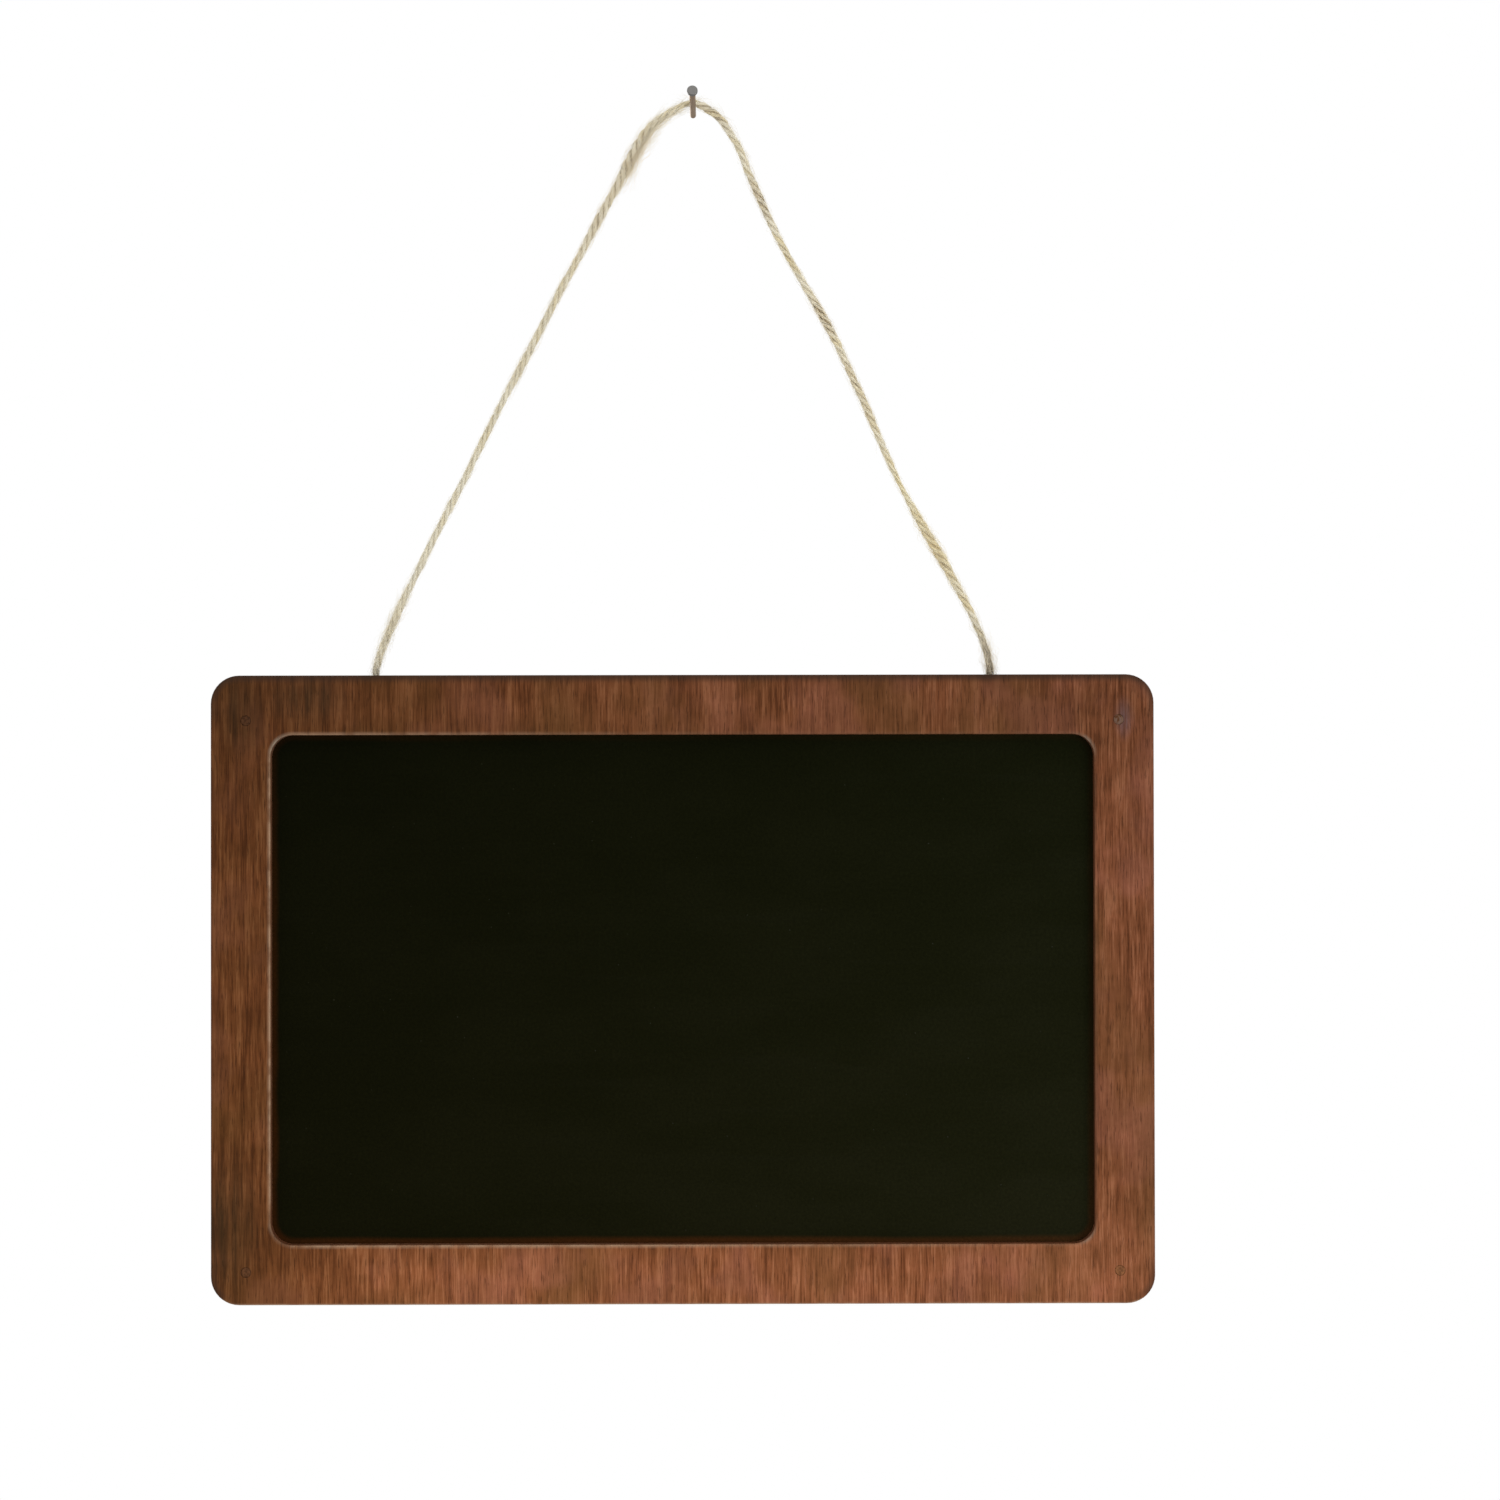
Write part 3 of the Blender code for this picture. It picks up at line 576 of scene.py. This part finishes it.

# stained plywood: soft bands along the grain, thin dark streaks and pores in them, painted light that leaves
# it darker towards the top left, darkest in two corners, and the plies on the edges
frameWood = {
    # each layer's front and back, its plies, and a shift that gives it a grain of its own
    "layers": {"Front": (-0.0123, -0.0083, 3, 0.0), "Rear": (-0.008, 0.0, 5, 5.0)},
    "pale": (0.315, 0.120, 0.044),
    "middle": (0.215, 0.071, 0.022),
    "dark": (0.122, 0.037, 0.010),
    "olive": (0.175, 0.072, 0.020),
    "pore": (0.062, 0.020, 0.006),
    "smudge": (0.060, 0.033, 0.014),
    "rosy": (0.262, 0.094, 0.044),
    "worn": (0.400, 0.250, 0.155),
    "wornCorner": (0.330, 0.270, 0.205),
    "edge": (0.040, 0.022, 0.014),  # darker along the outer edges
    "endGrain": (0.062, 0.021, 0.009),
    "glue": (0.030, 0.012, 0.006),
    "reveal": (0.110, 0.036, 0.014),
    # its patterns, in metres along x, y and z
    "band": (0.0024, 0.006, 0.034),
    "streak": (0.00062, 0.004, 0.013),
    "pores": (0.00032, 0.0015, 0.0050),
    "drift": (0.030, 0.05, 0.060),
    "blush": (0.022, 0.05, 0.026),
    "rubs": (0.006, 0.006, 0.006),
    # painted light, as a power of e, lighter towards the right and the bottom: its rise per metre along x, y
    # and z
    "paintedLight": (1.5, 0.0, -2.12),
    "paintedLightStart": -0.96,
    "cloud": (0.011, 0.05, 0.009),
    "blues": (0.70, 0.0, 0.68),  # how much bluer it grows for each metre along x, y and z
    "middleBlue": 0.37,
    # places where the painted light differs: the middle, how far it reaches, and how much lighter
    "places": [
        ((-0.020, -0.0123, -0.188), (0.150, 0.05, 0.028), 0.25),
        ((0.138, -0.0123, -0.374), (0.030, 0.05, 0.026), 0.10),
        ((-0.080, -0.0123, -0.374), (0.075, 0.05, 0.026), 0.50),
        ((0.010, -0.0123, -0.374), (0.110, 0.05, 0.026), 0.32),
        ((0.115, -0.0123, -0.374), (0.035, 0.05, 0.026), 0.14),
        ((0.138, -0.0123, -0.340), (0.022, 0.05, 0.050), -0.14),
        ((-0.144, -0.0123, -0.265), (0.030, 0.05, 0.085), 0.14),
        ((0.137, -0.0123, -0.235), (0.026, 0.05, 0.065), 0.09),
    ],
    "smudges": [  # smudges, and darker places on the top edge round the twine's holes: the middle, and how far it reaches
        ((-0.1440, -0.0123, -0.192), (0.010, 0.05, 0.020)),
        ((-0.1225, -0.0123, -0.188), (0.020, 0.05, 0.013)),
        ((-0.1480, -0.0123, -0.356), (0.014, 0.05, 0.034)),
        ((-0.1030, -0.0110, -0.1810), (0.0050, 0.05, 0.0022)),
        ((0.0940, -0.0110, -0.1810), (0.0085, 0.05, 0.0034)),
    ],
    "greyed": ((0.1370, -0.0123, -0.1950), (0.0040, 0.003, 0.0088)),
    "grey": (0.165, 0.100, 0.080),  # rubbed bare by the pin at the top right
    "arrisHighlight": (-3.2, 0.0, -2.5),  # a painted highlight on the window's arris, stronger on its left and bottom sides, which face the lamps: how much more, for each metre along x, y and z
    # and at its corners: how much, x, z and how far the worn place reaches
    "cornerWears": [
        (0.85, -0.1330, -0.2015, 0.008),
        (0.70, 0.1250, -0.2025, 0.008),
        (0.60, 0.1250, -0.3595, 0.006),
    ],
    # the window's corner that is hardly worn
    "unworn": ((-0.1330, -0.0123, -0.3600), (0.012, 0.05, 0.012)),
    # where the edges are worn or dark, in metres: from where it starts to where it is full
    "byWindow": (0.004, 0.002),  # out from the window
    "windowRim": (0.0014, 0.0002),
    "windowInset": 0.001,
    "windowReach": 0.008,  # round the window's corners
    "bottomWorn": (0.0025, 0.0010),  # up from the bottom
    "bottomDark": (0.0015, 0.0045),
    "topDark": (-0.005, -0.002),  # up from the top
    "cornerDark": (0.026, 0.022),  # round the board's corners, along x and z
    "outerDark": (-0.0030, -0.0003),  # out from the board
    "relief": 0.00010,
    "roughness": 0.7,
    "shine": 0.07,
}


def edgeDistance(tree, place, half, radius):
    # how far a point is outside a rectangle with round corners in the board's middle, in metres, and
    # negative inside it: the length of what is left of |point - middle| - (half - radius) above 0, less
    # the radius
    away = addNode(tree, "VectorMath", {0: place, 1: board["centre"]}, operation="SUBTRACT")
    flat = addNode(tree, "VectorMath", {0: away, 1: (1.0, 0.0, 1.0)}, operation="MULTIPLY")
    size = addNode(tree, "VectorMath", {0: flat}, operation="ABSOLUTE")
    inner = (half[0] - radius, 0.0, half[2] - radius)
    past = addNode(tree, "VectorMath", {0: size, 1: inner}, operation="SUBTRACT")
    left = addNode(tree, "VectorMath", {0: past, 1: (0.0, 0.0, 0.0)}, operation="MAXIMUM")
    return sums(tree, "SUBTRACT", addNode(tree, "VectorMath", {0: left}, "Value", operation="LENGTH"), radius)


def stainedGrainAndPaintedLight(tree, place, streaks, look, ownGrain):
    bands = grainNoise(tree, place, look["band"], 3, 0.55, (ownGrain, 0, 0))
    drift = grainNoise(tree, place, look["drift"], 2, 0.5, (ownGrain, 0, 0))
    rosy = grainNoise(tree, place, look["blush"], 2, 0.6, (ownGrain + 7.0, 0, 3.0))
    clouds = grainNoise(tree, place, look["cloud"], 3, 0.6, (ownGrain, 3.0, 0))
    blend = plus(tree, times(tree, bands, 0.47), times(tree, streaks, 0.53))
    tone = colourRamp(tree, blend, [(0.40, look["dark"]), (0.50, look["middle"]), (0.60, look["pale"])])
    tone = mixColour(tree, span(tree, drift, 0.45, 0.70, 0, 0.6), tone, look["olive"])
    tone = mixColour(tree, span(tree, rosy, 0.48, 0.66, 0, 0.42), tone, look["rosy"])
    pores = grainNoise(tree, place, look["pores"], 2, 0.5, (2.0, 0, 0))
    tone = mixColour(tree, span(tree, pores, 0.58, 0.70, 0, 0.55), tone, look["pore"])
    for spot, size in look["smudges"]:
        uneven = span(tree, bands, 0.70, 0.35, 0.35, 0.8)
        shade = times(tree, patch(tree, place, spot, size), uneven)
        tone = mixColour(tree, shade, tone, look["smudge"])
    uneven = span(tree, streaks, 0.35, 0.6, 0.3, 0.8)
    greyed = times(tree, patch(tree, place, *look["greyed"]), uneven)
    tone = mixColour(tree, greyed, tone, look["grey"])

    # painted light, with random clouds in the stain, as a power of e, with its own for the blue
    light = rising(tree, place, look["paintedLight"], look["paintedLightStart"])
    for spot, size, rise in look["places"]:
        light = plus(tree, light, times(tree, patch(tree, place, spot, size), rise))
    light = plus(tree, light, aboutZero(tree, clouds, 0.95))
    bluer = rising(tree, place, look["blues"], look["middleBlue"])
    blue = plus(tree, times(tree, light, 1.35), bluer)
    paintedLightAndClouds = sums(tree, "EXPONENT", light)
    paintedLightAndClouds = addNode(tree, "CombineXYZ", {0: paintedLightAndClouds, 1: paintedLightAndClouds, 2: sums(tree, "EXPONENT", blue)})
    return mixColour(tree, 1.0, tone, paintedLightAndClouds, "MULTIPLY"), pores


def plyEdges(tree, place, tone, streaks, turned, look, yFront, yBack, plies):
    # across the plies, with every second one end grain and a dark glue line between two
    side = span(tree, turned, 0.75, 0.35)
    sockets = {0: part(tree, place, 1), 1: yFront, 2: yBack, 3: 0.0, 4: float(plies)}
    ply = plus(tree, addNode(tree, "MapRange", sockets), aboutZero(tree, streaks, 0.25))
    endGrain = times(tree, sums(tree, "FLOOR", sums(tree, "MODULO", ply, 2.0)), side)
    betweenPlies = sums(tree, "SUBTRACT", sums(tree, "FRACT", plus(tree, ply, 0.5)), 0.5)
    glue = times(tree, span(tree, sums(tree, "ABSOLUTE", betweenPlies), 0.10, 0.03), side)
    tone = mixColour(tree, times(tree, endGrain, 0.75), tone, look["endGrain"])
    return mixColour(tree, times(tree, glue, 0.85), tone, look["glue"])


def wornEdgesAndHighlight(tree, place, tone, turned, look):
    # the arrises: the window's, where the stain has worn thin, most of all at its corners, with a painted
    # highlight on its left and bottom sides, and the outer ones, where it is darkest. The window's own edge
    # is red with stain
    # eased is 1 on the arrises, which face neither the front nor a side
    eased = times(tree, span(tree, turned, 0.985, 0.90), span(tree, turned, 0.15, 0.45))
    rubbed = span(tree, grainNoise(tree, place, look["rubs"], 2), 0.35, 0.6, 0.45, 1.0)
    fromWindow = edgeDistance(tree, place, board["window"], board["windowCorner"])
    atWindow = span(tree, fromWindow, *look["byWindow"])
    away = addNode(tree, "VectorMath", {0: place, 1: board["centre"]}, operation="SUBTRACT")
    size = addNode(tree, "VectorMath", {0: away}, operation="ABSOLUTE")
    inset, reach = look["windowInset"], look["windowReach"]
    corner = (board["window"][0] - inset, -board["front"], board["window"][2] - inset)
    atCorner = patch(tree, size, corner, (reach, board["anyDepth"], reach))
    # painted highlight: the arris is lighter on the window's left and bottom sides, which face the lamps, and
    # worn at the corners
    wearAndHighlight = span(tree, rising(tree, away, look["arrisHighlight"]), -0.30, 0.40, 0.12, 1.0)
    unworn = times(tree, patch(tree, place, *look["unworn"]), 0.8)
    wearAndHighlight = times(tree, wearAndHighlight, sums(tree, "SUBTRACT", 1.0, unworn))
    for strength, x, z, reach in look["cornerWears"]:
        spot = patch(tree, place, (x, board["front"], z), (reach, board["anyDepth"], reach))
        wearAndHighlight = sums(tree, "MAXIMUM", wearAndHighlight, times(tree, spot, strength))
    inner = times(tree, span(tree, fromWindow, *look["windowRim"]), 0.65)
    bare = sums(tree, "MAXIMUM", times(tree, eased, atWindow), inner)
    rubbedOffAndLit = times(tree, times(tree, bare, rubbed), wearAndHighlight)
    tone = mixColour(tree, rubbedOffAndLit, tone, mixColour(tree, atCorner, look["worn"], look["wornCorner"]))
    within = times(tree, span(tree, turned, 0.30, 0.10), atWindow)
    tone = mixColour(tree, times(tree, within, 0.8), tone, look["reveal"])

    z = part(tree, place, 2)
    low, high = (board["bottom"] + up for up in look["bottomWorn"])
    atBottom = times(tree, span(tree, z, low, high), eased)
    tone = mixColour(tree, times(tree, atBottom, rubbed), tone, look["worn"])
    # darker along the outer edges, most along the top and round the board's corners, least at the bottom
    outer = (board["half"][0], -board["front"], board["half"][2])
    wide, tall = look["cornerDark"]
    atEnds = times(tree, patch(tree, size, outer, (wide, board["anyDepth"], tall)), 0.8)
    low, high = (board["top"] + up for up in look["topDark"])
    where = sums(tree, "MAXIMUM", span(tree, z, low, high, 0.08, 0.80), atEnds)
    low, high = (board["bottom"] + up for up in look["bottomDark"])
    where = times(tree, where, span(tree, z, low, high, 0.2, 1.0))
    where = times(tree, where, span(tree, turned, 0.10, 0.45, 0.30, 1.0))
    fromEdge = edgeDistance(tree, place, board["half"], board["corner"])
    darkRim = times(tree, span(tree, fromEdge, *look["outerDark"]), where)
    return mixColour(tree, darkRim, tone, look["edge"])


def woodMaterial(layer, look):
    made, tree, shader = newMaterial("stainedWood" + layer, look["roughness"], look["shine"])
    *depths, ownGrain = look["layers"][layer]
    place = placeOf(tree)
    turned = sums(tree, "ABSOLUTE", part(tree, addNode(tree, "TexCoord", {}, "Normal"), 1))
    streaks = grainNoise(tree, place, look["streak"], 3, 0.6)
    tone, pores = stainedGrainAndPaintedLight(tree, place, streaks, look, ownGrain)
    tone = plyEdges(tree, place, tone, streaks, turned, look, *depths)
    tone = wornEdgesAndHighlight(tree, place, tone, turned, look)
    tree.links.new(tone, shader.inputs["Base Color"])
    height = plus(tree, streaks, times(tree, span(tree, pores, 0.72, 0.60), 0.6))
    bump(tree, shader, height, look["relief"])
    return made


# the corner pins as they are seen: uneven heads that sit flush and fill their holes, stained over
pins = {
    "places": {  # x and z
        "corner_pin_top_left": (-0.1423, -0.1954),
        "corner_pin_top_right": (0.1353, -0.1954),
        "corner_pin_bottom_left": (-0.1423, -0.3705),
        "corner_pin_bottom_right": (0.1353, -0.3705),
    },
    # from the middle of the head down to the point: the radius, and the depth under the frame's face
    "radii": (0.0, 0.0008, 0.0014, 0.00168, 0.00166, 0.0007, 0.0007, 0.0),
    "depths": (-0.00002, -0.00001, 0.00004, 0.00016, 0.0010, 0.0012, 0.0082, 0.0096),
    "sides": 40,
    "thinnest": 0.00001,
    # waves that make it uneven: how strong, how many round it, how far each pin's are turned, start
    "ripple": [(0.035, 3, 2, 0), (0.025, 7, 5, 1)],
}


def makePin(name, x, z, look, own):
    # turned about its own axis: the radius is the table's times a ripple, which is 1 and two slow waves
    # round the pin
    angle = np.linspace(0, 2 * np.pi, look["sides"], endpoint=False)[None, :]
    ripple = np.ones_like(angle)
    for strong, count, turned, start in look["ripple"]:
        ripple += strong * np.sin(count * angle + turned * own + start)
    radius = np.maximum(np.array(look["radii"]), look["thinnest"])[:, None] * ripple
    y = (board["front"] + np.array(look["depths"]))[:, None] * np.ones_like(angle)
    return gridMesh(name, np.stack([x + radius * np.cos(angle), y, z + radius * np.sin(angle)], axis=-1))


pinPieces = {}
for own, (node, (x, z)) in enumerate(pins["places"].items()):
    pinPieces[node] = makePin(node.replace("corner_pin", "pinBody"), x, z, pins, own)

frontFinish = woodMaterial("Front", frameWood)
rearFinish = woodMaterial("Rear", frameWood)

panel = {
    "paint": (0.0075, 0.0079, 0.0021),
    "thin": (0.0088, 0.0091, 0.0028),
    "dust": (0.060, 0.060, 0.050),
    "board": (0.165, 0.092, 0.045),  # the bare hardboard behind
    "boardDark": (0.110, 0.058, 0.028),
    "boardFleck": (0.065, 0.032, 0.016),
    "boardStained": (0.070, 0.027, 0.012),
    "stained": (0.058, 0.0190, 0.0042),  # a dark red band on the panel along the window's edge
    "redBandRise": (-2.2, 0.0, -3.5),  # how much more of it there is, for each metre along x, y and z
    # painted light, lighter towards the right and the bottom: its red, green and blue, as powers of e: the
    # rise for each metre along x, y and z, and the start
    "paintedLight": [((2.15, 0.0, -3.31), -1.21), ((2.41, 0.0, -2.64), -1.02), ((3.71, 0.0, -3.99), -1.49)],
    # the patterns of its front, in metres
    "rolled": (0.0009, 0.0009, 0.0009),
    "cloudy": (0.045, 0.045, 0.020),
    "wiped": (0.060, 0.01, 0.0045),
    "specks": (0.0011, 0.0011, 0.0011),
    "redBand": (-0.0025, -0.0004),  # out from the window: where that band starts, and where it is full
    # the bare back, from this y on, and its patterns
    "back": -0.0056,
    "mottled": (0.0012, 0.0012, 0.0012),
    "pressed": (0.040, 0.01, 0.028),
    "screen": 3400.0,  # radians per metre, the mesh that the board was pressed on
    "slivers": (0.0030, 0.01, 0.0005),
    "sliversLie": (0.0, 60.0, 125.0),  # degrees
    "spilt": (-0.0030, 0.0002),
    "relief": 0.00006,
    "roughness": 0.8,
    "shine": 0.02,
}


def panelPaint(tree, place, fromWindow, rolled, look):
    cloudy = grainNoise(tree, place, look["cloudy"], 3, 0.55)
    wiped = grainNoise(tree, place, look["wiped"], 3, 0.6, (1.0, 0, 0))
    specks = grainNoise(tree, place, look["specks"], 1, 0.5, (4.0, 2.0, 0))
    paint = mixColour(tree, span(tree, cloudy, 0.35, 0.65), look["paint"], look["thin"])
    paint = mixColour(tree, span(tree, wiped, 0.50, 0.80, 0, 0.012), paint, look["dust"])
    paint = mixColour(tree, span(tree, specks, 0.80, 0.85, 0, 0.4), paint, look["dust"])
    redBand = plus(tree, fromWindow, aboutZero(tree, cloudy, 0.002))
    away = addNode(tree, "VectorMath", {0: place, 1: board["centre"]}, operation="SUBTRACT")
    side = span(tree, rising(tree, away, look["redBandRise"]), -0.25, 0.30, 0.12, 0.80)
    redBand = times(tree, span(tree, redBand, *look["redBand"]), side)
    paint = mixColour(tree, redBand, paint, look["stained"])
    # painted light, lighter towards the bottom right, with the rolled paint's grain in it
    grained = aboutZero(tree, rolled, 0.9)
    light = []
    for rise, start in look["paintedLight"]:
        power = plus(tree, rising(tree, place, rise, start), grained)
        light.append(sums(tree, "EXPONENT", power))
    return mixColour(tree, 1.0, paint, addNode(tree, "CombineXYZ", dict(enumerate(light))), "MULTIPLY")


def panelBack(tree, place, fromWindow, screen, look):
    mottled = grainNoise(tree, place, look["mottled"], 4, 0.7)
    pressed = grainNoise(tree, place, look["pressed"], 3, 0.65, (5.0, 0, 2.0))
    bare = mixColour(tree, span(tree, mottled, 0.25, 0.75), look["boardDark"], look["board"])
    bare = mixColour(tree, span(tree, screen, 0.2, -0.6, 0, 0.35), bare, look["boardDark"])
    bare = mixColour(tree, span(tree, pressed, 0.42, 0.64, 0, 0.45), bare, look["boardDark"])
    for turn in look["sliversLie"]:
        lying = addNode(tree, "Mapping", {"Vector": place, "Rotation": (0, radians(turn), 0)})
        slivers = grainNoise(tree, lying, look["slivers"], 2, 0.5, (turn, 0, 0))
        bare = mixColour(tree, span(tree, slivers, 0.66, 0.74, 0, 0.55), bare, look["boardFleck"])
    spilt = plus(tree, fromWindow, aboutZero(tree, pressed, 0.005))
    return mixColour(tree, span(tree, spilt, *look["spilt"], 0, 0.6), bare, look["boardStained"])


def panelMaterial(look):
    made, tree, shader = newMaterial("chalkboardPaint", look["roughness"], look["shine"])
    place = placeOf(tree)
    fromWindow = edgeDistance(tree, place, board["window"], board["windowCorner"])
    rolled = grainNoise(tree, place, look["rolled"], 3, 0.6)
    wires = [sums(tree, "SINE", times(tree, part(tree, place, k), look["screen"])) for k in (0, 2)]
    screen = times(tree, *wires)
    paint = panelPaint(tree, place, fromWindow, rolled, look)
    bare = panelBack(tree, place, fromWindow, screen, look)
    behind = span(tree, part(tree, place, 1), look["back"], look["back"] + 0.0002)
    tree.links.new(mixColour(tree, behind, paint, bare), shader.inputs["Base Color"])
    height = addNode(tree, "Mix", {0: behind, 2: rolled, 3: screen})
    bump(tree, shader, height, look["relief"])
    return made


panelFinish = panelMaterial(panel)

steel = {
    "nail": (0.355, 0.262, 0.180),
    "nailDull": (0.240, 0.166, 0.107),
    "head": (0.160, 0.155, 0.147),
    "rust": (0.200, 0.100, 0.050),
    "pin": (0.150, 0.060, 0.023),
    "pinDark": (0.080, 0.031, 0.0115),
    "pinGrey": (0.145, 0.090, 0.066),
    "greyPin": (0.1353, -0.0123, -0.1954),  # the one whose stain has worn off
    "pinPaintedLight": (2.41, 0.0, -2.94),  # painted light on the pins, lighter towards the bottom right, as a power of e: its rise per metre
    "pinPaintedLightStart": -0.85,
    "slant": 15.0,  # degrees, the nail's slope
    "headFrom": 0.0158,  # metres from the wall, along the nail
    "gripFrom": 0.0100,  # the grooves that the wire's jaws left
    "gripTo": 0.0146,
    "gripEvery": 0.0009,
    "drawn": (0.00025, 0.00025, 0.006),  # the patterns of the nail and of the pins' heads, in metres
    "blotches": (0.0012, 0.0012, 0.0025),
    "pinBlotches": (0.0008, 0.0008, 0.0008),
    "nailRoughness": 0.42,
    "pinRoughness": 0.6,
    "nailRelief": 0.00005,
    "pinRelief": 0.00008,
}


def nailMaterial(look):
    made, tree, shader = newMaterial("nailSteel", look["nailRoughness"], metallic=1.0)
    # turned so that z runs along the nail, out of the wall
    slope = radians(look["slant"]) - radians(90)
    along = addNode(tree, "Mapping", {"Vector": placeOf(tree), "Rotation": (slope, 0, 0)})
    out = part(tree, along, 2)
    drawn = grainNoise(tree, along, look["drawn"], 2, 0.6)
    blotch = grainNoise(tree, along, look["blotches"], 3, 0.6)
    tone = mixColour(tree, span(tree, drawn, 0.3, 0.7), look["nailDull"], look["nail"])
    tone = mixColour(tree, span(tree, blotch, 0.60, 0.72, 0, 0.55), tone, look["rust"])
    tone = mixColour(tree, span(tree, out, look["headFrom"] - 0.0003, look["headFrom"]), tone, look["head"])
    tree.links.new(tone, shader.inputs["Base Color"])
    grooves = sums(tree, "SINE", times(tree, out, 2 * np.pi / look["gripEvery"]))
    begins = span(tree, out, look["gripFrom"], look["gripFrom"] + 0.0008)
    ends = span(tree, out, look["gripTo"], look["gripTo"] - 0.0004)
    gripped = times(tree, grooves, times(tree, begins, ends))
    bump(tree, shader, plus(tree, gripped, drawn), look["nailRelief"])
    return made


def pinMaterial(look):
    made, tree, shader = newMaterial("pinSteel", look["pinRoughness"], frameWood["shine"])
    place = placeOf(tree)
    blotch = grainNoise(tree, place, look["pinBlotches"], 3, 0.6)
    stained = mixColour(tree, span(tree, blotch, 0.35, 0.65), look["pinDark"], look["pin"])
    # painted light: the pins are lighter towards the bottom right, as the frame is
    light = sums(tree, "EXPONENT", rising(tree, place, look["pinPaintedLight"], look["pinPaintedLightStart"]))
    stained = mixColour(tree, 1.0, stained, light, "MULTIPLY")
    atPin = patch(tree, place, look["greyPin"], (0.004, 0.004, 0.004))
    worn = times(tree, atPin, span(tree, blotch, 0.40, 0.55))
    tree.links.new(mixColour(tree, worn, stained, look["pinGrey"]), shader.inputs["Base Color"])
    bump(tree, shader, blotch, look["pinRelief"])
    return made


pinFinish = pinMaterial(steel)
finishes = {
    "front_frame": frontFinish,
    "rear_frame": rearFinish,
    "chalk_panel": panelFinish,
    "wall_nail": nailMaterial(steel),
}
for piece in pinPieces.values():
    piece.data.materials.append(pinFinish)
for name, finish in finishes.items():
    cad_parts[name].data.materials.clear()
    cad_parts[name].data.materials.append(finish)
print("wood, paint and steel on")

# a plain white room: soft lamps in front and behind, a floor far below, and the wall that the nail is in
studio = {
    "room": 0.68,  # the light that comes from all round
    "key": {"place": (0.62, -0.85, -0.42), "aim": (0.0, 0.0, -0.28), "size": 0.5, "power": 3.6},
    "top": {"place": (0.10, -0.60, 0.80), "aim": (0.0, 0.0, -0.28), "size": 0.8, "power": 1.8},
    "behind": {"place": (-0.70, 1.00, 0.10), "aim": (0.0, 0.0, -0.28), "size": 0.8, "power": 5.0},
    "floorDrop": -1.35,
    "floorReach": 4.0,
    "wall": (0.3, 0.0003, -0.5, 0.1),  # half its width, its y, and from which z to which
}


def softLamp(name, look):
    lamp = bpy.data.lights.new(name, "AREA")
    lamp.energy = look["power"]
    lamp.size = look["size"]
    made = bpy.data.objects.new(name, lamp)
    bpy.context.scene.collection.objects.link(made)
    made.location = look["place"]
    made.rotation_euler = (Vector(look["aim"]) - made.location).to_track_quat("-Z", "Y").to_euler()


def seenWhite(tree):  # 1 for what the camera, a reflection or a look through glass sees directly
    seen = addNode(tree, "LightPath", {}, "Is Camera Ray")
    for ray in ("Is Glossy Ray", "Is Transmission Ray"):
        seen = sums(tree, "MAXIMUM", seen, addNode(tree, "LightPath", {}, ray))
    return seen


def whiteRoom(look):
    world = bpy.data.worlds.new("room")
    bpy.context.scene.world = world
    world.use_nodes = True
    tree = world.node_tree
    level = addNode(tree, "MapRange", {0: seenWhite(tree), 3: look["room"], 4: 1.0})
    tree.links.new(level, tree.nodes["Background"].inputs["Strength"])
    tree.nodes["Background"].inputs["Color"].default_value = (1, 1, 1, 1)


def stagePlane(name, corners):
    mesh = bpy.data.meshes.new(name)
    mesh.from_pydata(corners, [], [(0, 1, 2, 3)])
    made = bpy.data.objects.new(name, mesh)
    bpy.context.scene.collection.objects.link(made)
    return made


def makeFloor(look):
    z = look["floorDrop"]
    far = look["floorReach"]
    floor = stagePlane("floor", [(-far, -far, z), (far, -far, z), (far, far, z), (-far, far, z)])
    made, tree, shader = newMaterial("paleFloor", 0.9, 0.0)
    shader.inputs["Base Color"].default_value = (0.9, 0.9, 0.9, 1)
    shader.inputs["Emission Color"].default_value = (1, 1, 1, 1)
    glow = times(tree, addNode(tree, "LightPath", {}, "Is Camera Ray"), 0.6)
    tree.links.new(glow, shader.inputs["Emission Strength"])
    floor.data.materials.append(made)


def makeWall(look):
    # it hides the nail's point, as a wall does, and is open from behind, so that the back can be looked at
    far, y, low, high = look["wall"]
    wall = stagePlane("wall", [(-far, y, low), (far, y, low), (far, y, high), (-far, y, high)])
    made, tree, _ = newMaterial("whiteWall", 1.0)
    white = addNode(tree, "Emission", {"Color": (1, 1, 1, 1), "Strength": 1.0})
    clear = addNode(tree, "BsdfTransparent", {})
    behind = addNode(tree, "NewGeometry", {}, "Backfacing")
    seen = addNode(tree, "MixShader", {0: behind, 1: white, 2: clear})
    tree.links.new(seen, tree.nodes["Material Output"].inputs["Surface"])
    wall.data.materials.append(made)
    wall.visible_diffuse = wall.visible_glossy = wall.visible_transmission = wall.visible_shadow = False


whiteRoom(studio)
for name in ("key", "top", "behind"):
    softLamp(name, studio[name])
makeFloor(studio)
makeWall(studio)
bpy.context.scene.view_settings.view_transform = "Standard"
print("studio lit")

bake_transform(twinePiece)
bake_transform(twineFibres)
for piece in knots.values():
    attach(piece, "board")
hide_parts("twine_loop", "twine_tail_left", "twine_tail_right")
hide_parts("twine_knot_left")
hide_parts("twine_knot_right")
for node, piece in pinPieces.items():
    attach(piece, "board")
    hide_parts(node)
